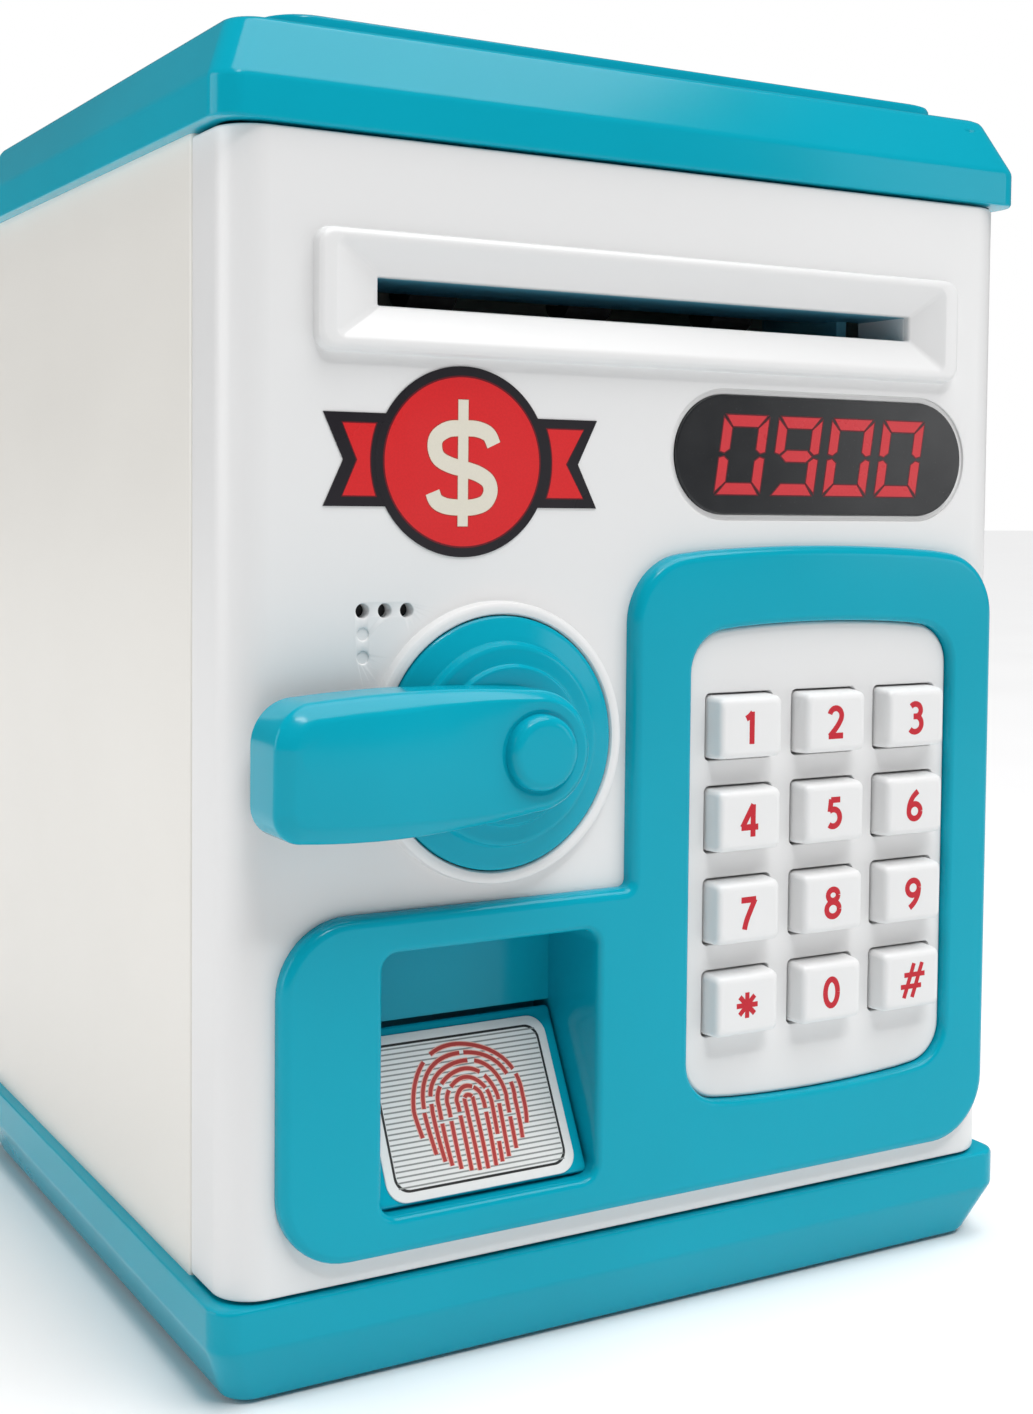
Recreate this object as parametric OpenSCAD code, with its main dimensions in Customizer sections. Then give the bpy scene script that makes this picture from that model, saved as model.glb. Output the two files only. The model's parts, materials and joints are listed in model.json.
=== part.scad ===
// Toy savings bank in the form of a cash machine.
// The cabinet is a tray, a three-sided shell and a lid. The front is a hinged door that carries
// the banknote feeder, the keypad, the finger niche, the lever latch and the battery box.
// X runs to the right of someone facing the door, Y runs to the back and Z runs up.
// The origin is on the floor, under the middle of the lid.

/* [Cabinet] */
// Width of the lid and of the base
bank_w = 142; // [140:0.5:146]
// Depth of the lid and of the base
bank_d = 130; // [126:0.5:140]
// Height of the lid's flat top above the floor
bank_h = 190; // [189:0.5:192]
// Width of the door and of the shell behind it
shell_w = 138; // [137:0.5:139]
// Thickness of the shell's walls
shell_wall = 2.2; // [1.8:0.1:2.4]
// Radius of the lid's and the base's upright corners
corner_r = 4; // [3:0.5:6]
// Height of the pad on top of the lid
top_pad_h = 2.2; // [1:0.1:3]
// Length of the coin slot
coin_slot_l = 32; // [28:0.5:36]
// Width of the coin slot
coin_slot_w = 3.2; // [2.6:0.1:3.8]

/* [Door] */
// Depth of the door from its face to the seam with the shell
door_t = 14; // [13.8:0.1:14]
// Thickness of the door's face and edges
door_wall = 2.2; // [1.8:0.1:2.2]
// Distance from the hinge pins to the door's hinged edge
hinge_r = 7; // [6.8:0.1:7]
// Radius of the hinge pins
hinge_pin_r = 1.5; // [1.2:0.1:1.8]

/* [Front features] */
// Clear height of the banknote slot
bill_slot_h = 3.9; // [3.4:0.1:4.2]
// Clear width of the banknote slot
bill_slot_w = 97; // [90:1:98]
// Height by which the coloured trim stands proud of the door
trim_proud = 2.5; // [2:0.1:3]
// Height by which the keys stand proud of the keypad plate
key_proud = 3.5; // [2:0.1:4]
// Travel of a key
key_travel = 1.2; // [0.6:0.1:1.2]
// Distance between columns of keys
key_pitch_x = 16.5; // [16:0.1:17]
// Distance between rows of keys
key_pitch_z = 14.35; // [14:0.05:14.6]
// Travel of the finger pad
pad_travel = 1.2; // [0.6:0.1:1.2]

/* [Latch and feeder] */
// Radius at which the crank pin drives the bolt
crank_r = 8; // [7:0.1:8.2]
// Radius of the rubber feed rollers
feed_roller_r = 6; // [5.5:0.1:6]
// Tooth size of the feeder's gears
gear_module = 0.6; // [0.58:0.01:0.6]

/* [Hidden] */
$fn = 64;
facets = 48;

// Cabinet heights
floor_gap = 0.6;
base_band_lo = 9.05;
base_top = 14.95;
lid_bottom = bank_h - 14.4;
lid_band_hi = bank_h - 8.7;
edge_inset = 3.9;
cabinet_wall = 3;
lid_ceiling = bank_h - 2.5;
tray_floor = 3.1;
door_lo = base_top + 0.45;
door_hi = lid_bottom - 0.4;

// Depths are measured backwards from the door's face
lid_lip = 0.8;
door_y = -bank_d / 2 + lid_lip;
shell_front = 14.3;
shell_back = bank_d - lid_lip - 1;
cover_front = door_t - 2;
half_w = shell_w / 2;
hinge_x = half_w - hinge_r;
hinge_d = hinge_r;
door_edge_r = 6;
fit_gap = 0.05;
eps = 0.01;

// Screw posts of the cabinet
post_x = 60.5;
post_d = [22.5, shell_back - 9.5];
post_r = 4;

// Front features, as X and Z on the door's face
slot_z = 154.15;
bezel_proud = 2;
handle_x = -28.4;
handle_z = 90.6;
rosette_r = 18.4;
trim_top = 118.9;
trim_floor = 19;
trim_mid = 67.6;
trim_l = -62.2;
trim_r = 65.2;
trim_step = -6.1;
plate_front = -1;
key_left = 7.8;
key_top = 96.2;
key_hole_w = 12.8;
key_hole_h = 10.4;
key_gap = 0.3;
niche_l = -47;
niche_r = -11.8;
niche_top = 62;
niche_d = 12.5;
pad_start = [-0.6, 24.9];
pad_tilt = 28.5;
pad_len = 25.6;
pad_t = 1.6;

// Latch
bolt_z = handle_z - 7.5;
bolt_h = 8;
bolt_d = [16.8, 19.8];
crank_lead = 30;
plunger_x = -50;
plunger_d = 18.3;
plunger_r = 3;

// Feeder
feed_d = 25;
feed_axis_z = slot_z - 0.15 - feed_roller_r;
pinch_r = 4;
pinch_axis_z = slot_z + 0.15 + pinch_r;
shaft_r = 1.5;
roller_teeth = 20;
idler_teeth = 24;
pinion_teeth = 10;
gear_slack = 0.1;
idler_z = feed_axis_z - gear_module * (roller_teeth + idler_teeth) / 2 - gear_slack;
pinion_z = idler_z - gear_module * (idler_teeth + pinion_teeth) / 2 - gear_slack;
gear_x = [46.6, 49.6];
side_plate_x = 44;
side_plate_t = 2;

// Batteries
cell_r = 7.1;
cell_x = [7.5, 22.5, 37.5];
cell_d = 23.2;
cell_z = [46, 96.5];
box_x = [-1.5, 46.5];
box_z = [42, 101];
box_d = [14, 32];

// Colours
teal = [0.12, 0.66, 0.76];
white = [0.92, 0.92, 0.92];
cream = [0.91, 0.9, 0.87];
steel = [0.7, 0.71, 0.73];
brass = [0.8, 0.66, 0.3];
black = [0.1, 0.1, 0.12];
red = [0.84, 0.19, 0.19];
board_green = [0.1, 0.42, 0.22];

// ---- Helpers ----

// Moves what is drawn about the middle of the lid so that the origin lies under the middle of
// the whole bank, lever included
module in_frame() {
    lever_front = 15.2;
    translate([0, (lever_front - lid_lip) / 2, 0])
        children();
}

// Box given by its X, depth and Z limits
module block(x0, x1, d0, d1, z0, z1) {
    translate([x0, door_y + d0, z0])
        cube([x1 - x0, d1 - d0, z1 - z0]);
}

// Shape drawn in X and Z, as thick as the two depths say
module face_shape(d0, d1) {
    translate([0, door_y + d1, 0])
        rotate([90, 0, 0])
            linear_extrude(d1 - d0)
                children();
}

// Shape drawn in depth and Z, as wide as the two X values say
module side_shape(x0, x1) {
    translate([x0, door_y, 0])
        rotate([90, 0, 90])
            linear_extrude(x1 - x0)
                children();
}

// Shape drawn in X and depth, as high as the two Z values say
module plan_shape(z0, z1) {
    translate([0, door_y, z0])
        linear_extrude(z1 - z0)
            children();
}

module rod_x(d, z, r, x0, x1) {
    translate([x0, door_y + d, z])
        rotate([0, 90, 0])
            cylinder(r = r, h = x1 - x0);
}

module rod_y(x, z, r, d0, d1) {
    translate([x, door_y + d1, z])
        rotate([90, 0, 0])
            cylinder(r = r, h = d1 - d0);
}

module rod_z(x, d, r, z0, z1) {
    translate([x, door_y + d, z0])
        cylinder(r = r, h = z1 - z0);
}

// Rectangle with four round corners
module round_rect(x0, z0, x1, z1, r) {
    translate([x0 + r, z0])
        square([x1 - x0 - 2 * r, z1 - z0]);
    translate([x0, z0 + r])
        square([x1 - x0, z1 - z0 - 2 * r]);
    for (x = [x0 + r, x1 - r], z = [z0 + r, z1 - r])
        translate([x, z])
            circle(r);
}

// Screw along Y with its head at the back
module screw_y(x, z, r, tip_d, seat_d, head_h) {
    rod_y(x, z, r, tip_d, seat_d);
    rod_y(x, z, 2.1 * r, seat_d, seat_d + head_h);
}

// ---- Cabinet ----

// Outline of the lid and the base, drawn inwards by the inset
module rim_outline(inset) {
    side = bank_w / 2 - inset;
    depth = bank_d / 2 - inset;
    round_rect(-side, -depth, side, depth, corner_r);
}

// Upright band with a chamfer that runs in to the far side
module rim_solid(z_band0, z_band1, z_far, inset) {
    slab = 0.1;
    z_last = z_far > z_band1 ? z_far - slab : z_far;
    hull() {
        for (s = [[z_band0, 0], [z_band1 - slab, 0], [z_last, inset]])
            translate([0, 0, s[0]])
                linear_extrude(slab)
                    rim_outline(s[1], $fn = facets);
    }
}

// Block centred on X and Y
module centred_block(half_x, half_y, z0, z1) {
    translate([-half_x, -half_y, z0])
        cube([2 * half_x, 2 * half_y, z1 - z0]);
}

module at_posts() {
    for (x = [-post_x, post_x], d = post_d)
        translate([x, door_y + d, 0])
            children();
}

module body_shell() {
    back_r = 6;
    tab_z = lid_bottom - 3;
    post_h = 16;
    color(cream) {
        difference() {
            plan_shape(base_top, lid_bottom) {
                difference() {
                    union() {
                        round_rect(-half_w, shell_front + 20, half_w, shell_back, back_r);
                        translate([-half_w, shell_front])
                            square([shell_w, 60]);
                    }
                    round_rect(-half_w + shell_wall, shell_front + 20, half_w - shell_wall,
                        shell_back - shell_wall, back_r - shell_wall);
                    translate([-half_w + shell_wall, shell_front - 1])
                        square([shell_w - 2 * shell_wall, 60]);
                }
            }
        }
        // Tabs that take the lid's screws from below
        for (side = [-1, 1], d = post_d)
            difference() {
                translate([side * (post_x + 1.5), door_y + d, (tab_z + lid_bottom) / 2])
                    cube([11, 10, lid_bottom - tab_z], center = true);
                rod_z(side * post_x, d, 1.7, tab_z - 1, lid_bottom + 1);
            }
        // Posts that take the base's screws
        for (side = [-1, 1], d = post_d)
            difference() {
                union() {
                    rod_z(side * post_x, d, post_r, base_top, base_top + post_h);
                    translate([side * (post_x + 3.5), door_y + d, base_top + post_h / 2])
                        cube([7, 3, post_h], center = true);
                }
                rod_z(side * post_x, d, 1.45, base_top - 1, base_top + post_h - 2);
            }
    }
}

module base_tray() {
    color(teal)
        difference() {
            union() {
                difference() {
                    rim_solid(base_band_lo, base_top, floor_gap, edge_inset - 0.4);
                    // Well behind the sill that the door closes on
                    block(-half_w + 3, half_w - 3, 16.5, shell_back - 3, base_band_lo + 0.5, base_top + 1);
                    block(-half_w + 6.5, half_w - 6.5, 16.5, shell_back - 6, tray_floor, base_top);
                    // Pocket under the door
                    block(-half_w + 8, hinge_x - 6, 3, 13, tray_floor, base_top + 1);
                }
                at_posts()
                    translate([0, 0, tray_floor - 1])
                        cylinder(r = post_r, h = base_top - tray_floor + 1);
            }
            at_posts() {
                translate([0, 0, -1])
                    cylinder(r = 3.4, h = 5.6);
                cylinder(r = 1.6, h = base_top + 1);
            }
            rod_z(hinge_x, hinge_d, hinge_pin_r, 8, base_top + 1);
            foot_sites()
                cylinder(r = 6, h = 1.6);
        }
}

module foot_sites() {
    for (x = [-44, 44], y = [-46, 46])
        translate([x, y, 0])
            children();
}

module foot_pads() {
    color(black)
        foot_sites()
            cylinder(r = 6, h = 1.6);
}

module base_screws() {
    color(steel)
        at_posts() {
            translate([0, 0, 2.6])
                cylinder(r = 3, h = 2);
            translate([0, 0, 4.6])
                cylinder(r = 1.45, h = base_top + 4);
        }
}

module lid_screws() {
    tab_z = lid_bottom - 3;
    color(steel)
        at_posts() {
            translate([0, 0, tab_z - 2])
                cylinder(r = 3, h = 2);
            translate([0, 0, tab_z])
                cylinder(r = 1.45, h = 10);
        }
}

module top_lid() {
    pad_inset = 7.3;
    guide_lo = bank_h - 10;
    color(teal)
        difference() {
            union() {
                difference() {
                    union() {
                        rim_solid(lid_bottom, lid_band_hi, bank_h, edge_inset);
                        translate([0, 0, bank_h - 1])
                            linear_extrude(top_pad_h + 1)
                                round_rect(-60, -bank_d / 2 + pad_inset, 60,
                                    bank_d / 2 - pad_inset, 6);
                    }
                    centred_block(half_w - 1, bank_d / 2 - cabinet_wall, lid_bottom - 1, lid_band_hi - 0.5);
                    centred_block(half_w - 5.5, bank_d / 2 - 7.5, lid_bottom - 1, lid_ceiling);
                }
                at_posts()
                    translate([0, 0, lid_bottom])
                        cylinder(r = post_r, h = lid_ceiling - lid_bottom + 1);
                rod_z(hinge_x, hinge_d, 5, lid_bottom, lid_ceiling + 1);
                centred_block(coin_slot_l / 2 + 2, coin_slot_w / 2 + 2, guide_lo, lid_ceiling + 1);
            }
            at_posts()
                translate([0, 0, lid_bottom - 1])
                    cylinder(r = 1.45, h = 9);
            rod_z(hinge_x, hinge_d, hinge_pin_r, lid_bottom - 1, lid_bottom + 7);
            centred_block(coin_slot_l / 2, coin_slot_w / 2, guide_lo - 1, bank_h + top_pad_h + 1);
        }
}

module hinge_pins() {
    color(steel) {
        rod_z(hinge_x, hinge_d, hinge_pin_r, 8, door_lo + 11);
        rod_z(hinge_x, hinge_d, hinge_pin_r, door_hi - 11, lid_bottom + 7);
    }
}

module latch_keeper() {
    color(steel)
        difference() {
            block(-half_w + shell_wall, -half_w + shell_wall + 1.1, 15.2, 30, bolt_z - 9, bolt_z + 9);
            block(-half_w, -half_w + 5, 16.4, 20.4, bolt_z - 5, bolt_z + 5);
        }
}

// ---- Door ----

// Plan of the door: the latch edge has a small round and the hinge edge is a half round
module door_plan(inset, back) {
    r_latch = door_edge_r - inset;
    translate([-half_w + door_edge_r, inset])
        square([hinge_x + half_w - door_edge_r, back - inset]);
    translate([-half_w + inset, door_edge_r])
        square([door_edge_r, back - door_edge_r]);
    translate([-half_w + door_edge_r, door_edge_r])
        circle(r_latch);
    translate([hinge_x, hinge_d])
        circle(hinge_r - inset);
}

cover_posts = [[-61, 24], [-61, 71], [-61, 166], [57, 22.5], [57, 117], [57, 166]];
keypad_posts = [[2.5, 30.5], [58.5, 30.5], [2.5, 109.5], [58.5, 109.5]];
main_posts = [[3, 119], [49, 119], [3, 143], [49, 143]];
keypad_board_d = 7.2;
main_board_d = 8;

module door_panel() {
    color(white)
        difference() {
            union() {
                difference() {
                    plan_shape(door_lo, door_hi)
                        door_plan(0, door_t);
                    plan_shape(door_lo + 2, door_hi - 2)
                        door_plan(door_wall, door_t + 1);
                }
                for (z = [door_lo, door_hi - 12.4])
                    rod_z(hinge_x, hinge_d, hinge_r - door_wall, z, z + 12.4);
                face_shape(-bezel_proud, eps)
                    round_rect(-57, slot_z - 8.6, 57, slot_z + 8.1, 2.5);
                face_shape(-bezel_proud, eps)
                    difference() {
                        translate([handle_x, handle_z])
                            circle(20.4);
                        translate([handle_x, handle_z])
                            circle(rosette_r + 0.1);
                    }
                for (p = cover_posts)
                    rod_y(p[0], p[1], 3, door_wall - eps, cover_front);
                for (p = keypad_posts)
                    rod_y(p[0], p[1], 2.5, door_wall - eps, keypad_board_d);
                for (p = main_posts)
                    rod_y(p[0], p[1], 2.5, door_wall - eps, main_board_d);
            }
            for (p = cover_posts)
                rod_y(p[0], p[1], 1.1, 4, cover_front + 1);
            for (p = keypad_posts)
                rod_y(p[0], p[1], 0.9, 3, keypad_board_d + 1);
            for (p = main_posts)
                rod_y(p[0], p[1], 0.9, 3, main_board_d + 1);
            rod_z(hinge_x, hinge_d, hinge_pin_r + fit_gap, door_lo - 1, door_lo + 11.5);
            rod_z(hinge_x, hinge_d, hinge_pin_r + fit_gap, door_hi - 11.5, door_hi + 1);
            slot_mouth();
            // Recess and outline groove of the display window
            face_shape(-1, 0.8)
                round_rect(2.2, 123.6, 59.2, 142.2, 9.25);
            face_shape(-1, 0.4)
                round_rect(1.4, 122.8, 60, 143, 10.05);
            // Keypad and finger niche pass through the face
            face_shape(-1, door_wall + 1)
                round_rect(6.4, 36.9, 54.6, 102.1, 2);
            block(niche_l - 1.7, niche_r + 1.7, -1, door_wall + 1, 21.5, 63.7);
            // Hole for the handle's spindle
            rod_y(handle_x, handle_z, 3.9, -3, door_wall + 1);
            // Speaker holes and the two blind dimples under them
            for (i = [0:2])
                rod_y(-49.4 + 3.4 * i, 109.9, 1, -1, door_wall + 1);
            for (i = [1:2])
                rod_y(-49.3, 109.9 - 3.25 * i, 0.9, -1, 0.6);
        }
}

// Bevelled mouth of the banknote slot, with the slot itself behind it
module slot_mouth() {
    block(-bill_slot_w / 2, bill_slot_w / 2, -3, door_wall + 1,
        slot_z - bill_slot_h / 2, slot_z + bill_slot_h / 2);
    hull() {
        block(-52.3, 52.3, -bezel_proud - 1, -bezel_proud, slot_z - 5.8, slot_z + 5.9);
        block(-bill_slot_w / 2, bill_slot_w / 2, 1, 1.1,
            slot_z - bill_slot_h / 2, slot_z + bill_slot_h / 2);
    }
}

module slot_guide() {
    wall = 1.6;
    color(teal)
        difference() {
            block(-bill_slot_w / 2 - wall, bill_slot_w / 2 + wall, door_wall, door_t,
                slot_z - bill_slot_h / 2 - wall, slot_z + bill_slot_h / 2 + wall);
            block(-bill_slot_w / 2, bill_slot_w / 2, door_wall - 1, door_t + 1,
                slot_z - bill_slot_h / 2, slot_z + bill_slot_h / 2);
        }
}

module door_back_cover() {
    color(cream)
        difference() {
            block(-half_w + door_wall + 0.2, hinge_x - 0.2, cover_front, door_t,
                door_lo + 2.2, door_hi - 2.2);
            for (p = cover_posts)
                rod_y(p[0], p[1], 1.3, cover_front - 1, door_t + 1);
            block(-50.3, 50.3, cover_front - 1, door_t + 1, slot_z - 3.7, slot_z + 3.7);
            block(niche_l - 1.8, niche_r + 1.8, cover_front - 1, door_t + 1, 21.2, 64);
            rod_y(handle_x, handle_z, 3.9, cover_front - 1, door_t + 1);
        }
}

module door_cover_screws() {
    color(steel)
        for (p = cover_posts)
            screw_y(p[0], p[1], 1.1, 5, door_t, 1.5);
}

// Outline of the stepped trim, with a slight arch along its top
module trim_outline() {
    r = 10.5;
    intersection() {
        union() {
            round_rect(trim_step, trim_floor, trim_r, trim_top, r);
            round_rect(trim_l, trim_floor, trim_r, trim_mid, r);
        }
        translate([(trim_l + trim_r) / 2, 0])
            square([200, 2 * trim_mid], center = true);
    }
    intersection() {
        round_rect(trim_step, trim_floor, trim_r, trim_top, r);
        translate([(trim_step + trim_r) / 2, trim_top - 330])
            circle(330, $fn = 256);
    }
}

// Outline of the keypad plate, arched along its top and its bottom
module keypad_outline(grow) {
    mid = 30.35;
    intersection() {
        round_rect(4.6 - grow, 32 - grow, 56.1 + grow, 106.9 + grow, 6.5 + grow);
        translate([mid, 106.9 + grow - 230])
            circle(230, $fn = 256);
        translate([mid, 32 - grow + 230])
            circle(230, $fn = 256);
    }
}

// Section through the finger pocket: upright back wall above a sloping seat
module pocket_section(grow) {
    polygon([
        [-0.9, 23.2 - grow],
        [4.85 + 0.6 * grow, 23.2 - grow],
        [17 + grow, 45.6 - 0.4 * grow],
        [17 + grow, 48.3 + grow],
        [niche_d + grow, 48.3 + grow],
        [niche_d + grow, niche_top + grow],
        [-0.9, niche_top + grow]
    ]);
}

module trim_panel() {
    wall = 1.6;
    color(teal)
        difference() {
            union() {
                face_shape(-trim_proud, 0)
                    trim_outline();
                side_shape(niche_l - wall, niche_r + wall)
                    pocket_section(wall);
            }
            face_shape(-trim_proud - 1, 1)
                keypad_outline(0.1);
            side_shape(niche_l, niche_r)
                pocket_section(0);
            block(niche_l, niche_r, -trim_proud - 1, 0, pad_start[1] - 0.4, niche_top);
        }
}

module keypad_plate() {
    color(white)
        difference() {
            union() {
                face_shape(plate_front, 0)
                    keypad_outline(0);
                face_shape(-eps, door_wall)
                    round_rect(6.5, 37, 54.5, 102, 2);
            }
            for (col = [0:2], row = [0:3])
                block(key_left + col * key_pitch_x, key_left + col * key_pitch_x + key_hole_w,
                    plate_front - 1, door_wall + 1,
                    key_top - row * key_pitch_z - key_hole_h, key_top - row * key_pitch_z);
        }
}

// One key: a cap through the plate and a flange behind it
module key(col, row) {
    x0 = key_left + col * key_pitch_x;
    z1 = key_top - row * key_pitch_z;
    flange = 0.9;
    color(white) {
        face_shape(plate_front - key_proud, 3)
            round_rect(x0 + key_gap, z1 - key_hole_h + key_gap, x0 + key_hole_w - key_gap,
                z1 - key_gap, 1);
        block(x0 - flange, x0 + key_hole_w + flange, 2.6, 3.6,
            z1 - key_hole_h - flange, z1 + flange);
    }
}

module key_membrane() {
    color([0.75, 0.77, 0.8]) {
        block(5, 56.5, 6.2, keypad_board_d, 34, 106);
        for (col = [0:2], row = [0:3])
            rod_y(key_left + col * key_pitch_x + key_hole_w / 2,
                key_top - row * key_pitch_z - key_hole_h / 2, 3, 5.1, 6.2 + eps);
    }
}

module board_screw_set(posts, board_d) {
    for (p = posts)
        screw_y(p[0], p[1], 0.9, 3.5, board_d + 1.6, 1.2);
}

module drilled_board(x0, x1, z0, z1, d, posts) {
    difference() {
        block(x0, x1, d, d + 1.6, z0, z1);
        for (p = posts)
            rod_y(p[0], p[1], 1.1, d - 1, d + 3);
    }
}

module keypad_board() {
    color(board_green)
        drilled_board(0, 61, 28, 112, keypad_board_d, keypad_posts);
}

module main_board() {
    color(board_green)
        drilled_board(0, 52, 116, 146, main_board_d, main_posts);
}

module board_chips() {
    color(black) {
        block(14, 26, main_board_d - 1.6, main_board_d, 126, 134);
        block(32, 37, main_board_d - 1.4, main_board_d, 127, 133);
        rod_y(42, 130, 2.5, main_board_d - 4.6, main_board_d);
        rod_y(9, 130, 2.5, main_board_d - 4.6, main_board_d);
    }
}

module board_screws() {
    color(steel) {
        board_screw_set(keypad_posts, keypad_board_d);
        board_screw_set(main_posts, main_board_d);
    }
}

module speaker() {
    color(black) {
        rod_y(-50.5, 109.5, 11.5, 2.5, 5);
        rod_y(-50.5, 109.5, 7, 5, 9);
    }
}

module display_window() {
    color(black)
        face_shape(-0.2, 0.8)
            round_rect(2.3, 123.7, 59.1, 142.1, 9.15);
}

module badge_sticker() {
    badge = [-33.7, 130.8];
    color(red)
        face_shape(-0.2, 0) {
            translate(badge)
                circle(13.35);
            polygon([[-55.5, 137.3], [badge[0], 137.3], [badge[0], 124.4], [-55.5, 124.4],
                [-52.5, 130.8]]);
            polygon([[badge[0], 137.3], [-11.8, 137.3], [-15, 130.8], [-11.8, 124.4],
                [badge[0], 124.4]]);
        }
}

// Stepped rings of the rosette, as radius and height above the door's face
module handle_rosette() {
    color(teal)
        translate([handle_x, door_y, handle_z])
            rotate([90, 0, 0])
                rotate_extrude()
                    polygon([[3.58, 0], [rosette_r, 0], [rosette_r, 1.6], [18, 2], [15.2, 2.8],
                        [14.5, 4.1], [14, 4.4], [12, 4.5], [11.4, 5.2], [11, 5.4], [3.58, 5.4]]);
}

// ---- Handle and latch ----

// Outline of the lever, drawn inwards by the inset
module lever_outline(inset) {
    hub = 8.6 - inset;
    translate([handle_x, handle_z])
        circle(hub);
    translate([-61.3, 92.7])
        circle(6.2 - inset);
    translate([-63, 84.7])
        circle(4.5 - inset);
    polygon([[-61.3, 98.9 - inset], [-46, 99.7 - inset], [handle_x, handle_z + hub],
        [handle_x, handle_z - hub], [-46, 79.9 + inset], [-63, 80.2 + inset],
        [-67.5 + inset, 84.7], [-67.5 + inset, 92.7]]);
}

module handle_lever() {
    front = -14;
    color(teal)
        difference() {
            union() {
                difference() {
                    face_shape(front, -4.2)
                        lever_outline(0);
                    face_shape(front + 2, -4)
                        lever_outline(2);
                    // The lever's back is cut away where it passes over the rosette
                    rod_y(handle_x, handle_z, 20.6, -5.7, 0);
                }
                rod_y(handle_x, handle_z, 6, front + eps, -5.7);
            }
            rod_y(handle_x, handle_z, 5.7, front - 1, -13.2);
            rod_y(handle_x, handle_z, 3, front - 1, -11);
            rod_y(handle_x, handle_z, 1.4, front - 1, -5);
            rod_y(handle_x, handle_z, 3.5, -8.5, -5);
        }
}

module handle_cap() {
    color(teal)
        rod_y(handle_x, handle_z, 5.7, -15.2, -13.2);
}

module handle_screw() {
    color(steel) {
        rod_y(handle_x, handle_z, 2.8, -12.8, -11);
        rod_y(handle_x, handle_z, 1.4, -11, -1);
    }
}

// Spindle, cam disc and the crank pin that drives the bolt
module latch_cam() {
    crank_x = handle_x - crank_r * sin(crank_lead);
    crank_z = handle_z - crank_r * cos(crank_lead);
    color(white)
        difference() {
            union() {
                rod_y(handle_x, handle_z, 3.5, -8.5, 14.6);
                rod_y(handle_x, handle_z, 10.5, 14.4, 16.4);
                rod_y(crank_x, crank_z, 1.8, 16.4 - eps, 19.6);
            }
            rod_y(handle_x, handle_z, 1.4, -9, -1);
        }
}

module latch_bolt() {
    slot_mid = handle_x - crank_r * sin(crank_lead);
    color(steel)
        difference() {
            block(-64, -14, bolt_d[0], bolt_d[1], bolt_z - bolt_h / 2, bolt_z + bolt_h / 2);
            // Upright slot for the crank pin
            block(slot_mid - 2, slot_mid + 2, bolt_d[0] - 1, bolt_d[1] + 1,
                handle_z - crank_r - 2.1, handle_z - crank_r + 3.1);
            // Notch that the lock's plunger drops into
            block(plunger_x - plunger_r - 0.6, plunger_x + plunger_r + 0.6,
                bolt_d[0] - 1, bolt_d[1] + 1, bolt_z - 0.4, bolt_z + bolt_h);
        }
}

module latch_guide() {
    gap = 0.3;
    lo = bolt_z - bolt_h / 2;
    hi = bolt_z + bolt_h / 2;
    color(white) {
        difference() {
            union()
                for (x0 = [-62, -17.5])
                    block(x0, x0 + 4.5, door_t, 22, lo - 2.6, hi + 2.6);
            block(-70, -10, bolt_d[0] - gap, bolt_d[1] + gap, lo - gap, hi + gap);
        }
        block(-62, -13, bolt_d[1] + gap + eps, 22, lo - 2.6, lo + 1);
    }
}

module lock_solenoid() {
    color(black)
        difference() {
            block(plunger_x - 7, plunger_x + 7, 14.2, 24.2, 93, 109);
            rod_z(plunger_x, plunger_d, plunger_r + fit_gap, 92, 110);
        }
}

module lock_plunger() {
    color(steel) {
        rod_z(plunger_x, plunger_d, plunger_r, bolt_z + bolt_h / 2 + 0.4, 115);
        rod_z(plunger_x, plunger_d, plunger_r + 1, 113.4, 115);
    }
}

// ---- Finger pad ----

// Puts children, drawn with X across, Y up the slope and Z out of it, on the sloping seat
module on_slope() {
    translate([(niche_l + niche_r) / 2, door_y + pad_start[0], pad_start[1]])
        rotate([90 - pad_tilt, 0, 0])
            children();
}

module finger_pad() {
    pad_w = niche_r - niche_l - 0.8;
    color(teal)
        on_slope()
            translate([0, 0, -pad_t])
                linear_extrude(pad_t)
                    round_rect(-pad_w / 2, 0.4, pad_w / 2, 0.4 + pad_len, 0.8);
}

module finger_label() {
    color([0.88, 0.88, 0.88])
        on_slope()
            linear_extrude(0.2)
                round_rect(-15.5, 0.6, 15.5, 25.8, 3);
}

module finger_switch() {
    color(black)
        on_slope() {
            translate([-8, 7, -pad_t - 3.95])
                cube([16, 12, 1.15]);
            translate([-3, 10, -pad_t - 2.8])
                cube([6, 6, 0.8]);
            translate([0, 13, -pad_t - 2 - eps])
                cylinder(r = 1.6, h = 0.5);
        }
}

// ---- Banknote feeder ----

module feed_bracket() {
    lo = feed_axis_z - 9;
    hi = pinch_axis_z + 6;
    back = feed_d + 10;
    color(white)
        difference() {
            union() {
                block(-side_plate_x - side_plate_t, -side_plate_x, door_t, back, lo, hi);
                block(side_plate_x, side_plate_x + side_plate_t, door_t, back, pinion_z - 11, hi);
                block(-side_plate_x - eps, side_plate_x + eps, door_t, back, lo, lo + 2);
                // Lips that carry the note from the slot to the rollers
                block(-side_plate_x - eps, side_plate_x + eps, door_t, 18.5,
                    slot_z - bill_slot_h / 2 - 1.6, slot_z - bill_slot_h / 2);
                block(-side_plate_x - eps, side_plate_x + eps, door_t, 18.5,
                    slot_z + bill_slot_h / 2, slot_z + bill_slot_h / 2 + 1.6);
                rod_x(feed_d, idler_z, shaft_r, side_plate_x + 1, gear_x[1] + 0.6);
            }
            for (z = [feed_axis_z, pinch_axis_z])
                rod_x(feed_d, z, shaft_r + fit_gap, -side_plate_x - 5, side_plate_x + 5);
            rod_x(feed_d, pinion_z, 1.3, side_plate_x - 1, side_plate_x + 5);
        }
}

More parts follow.
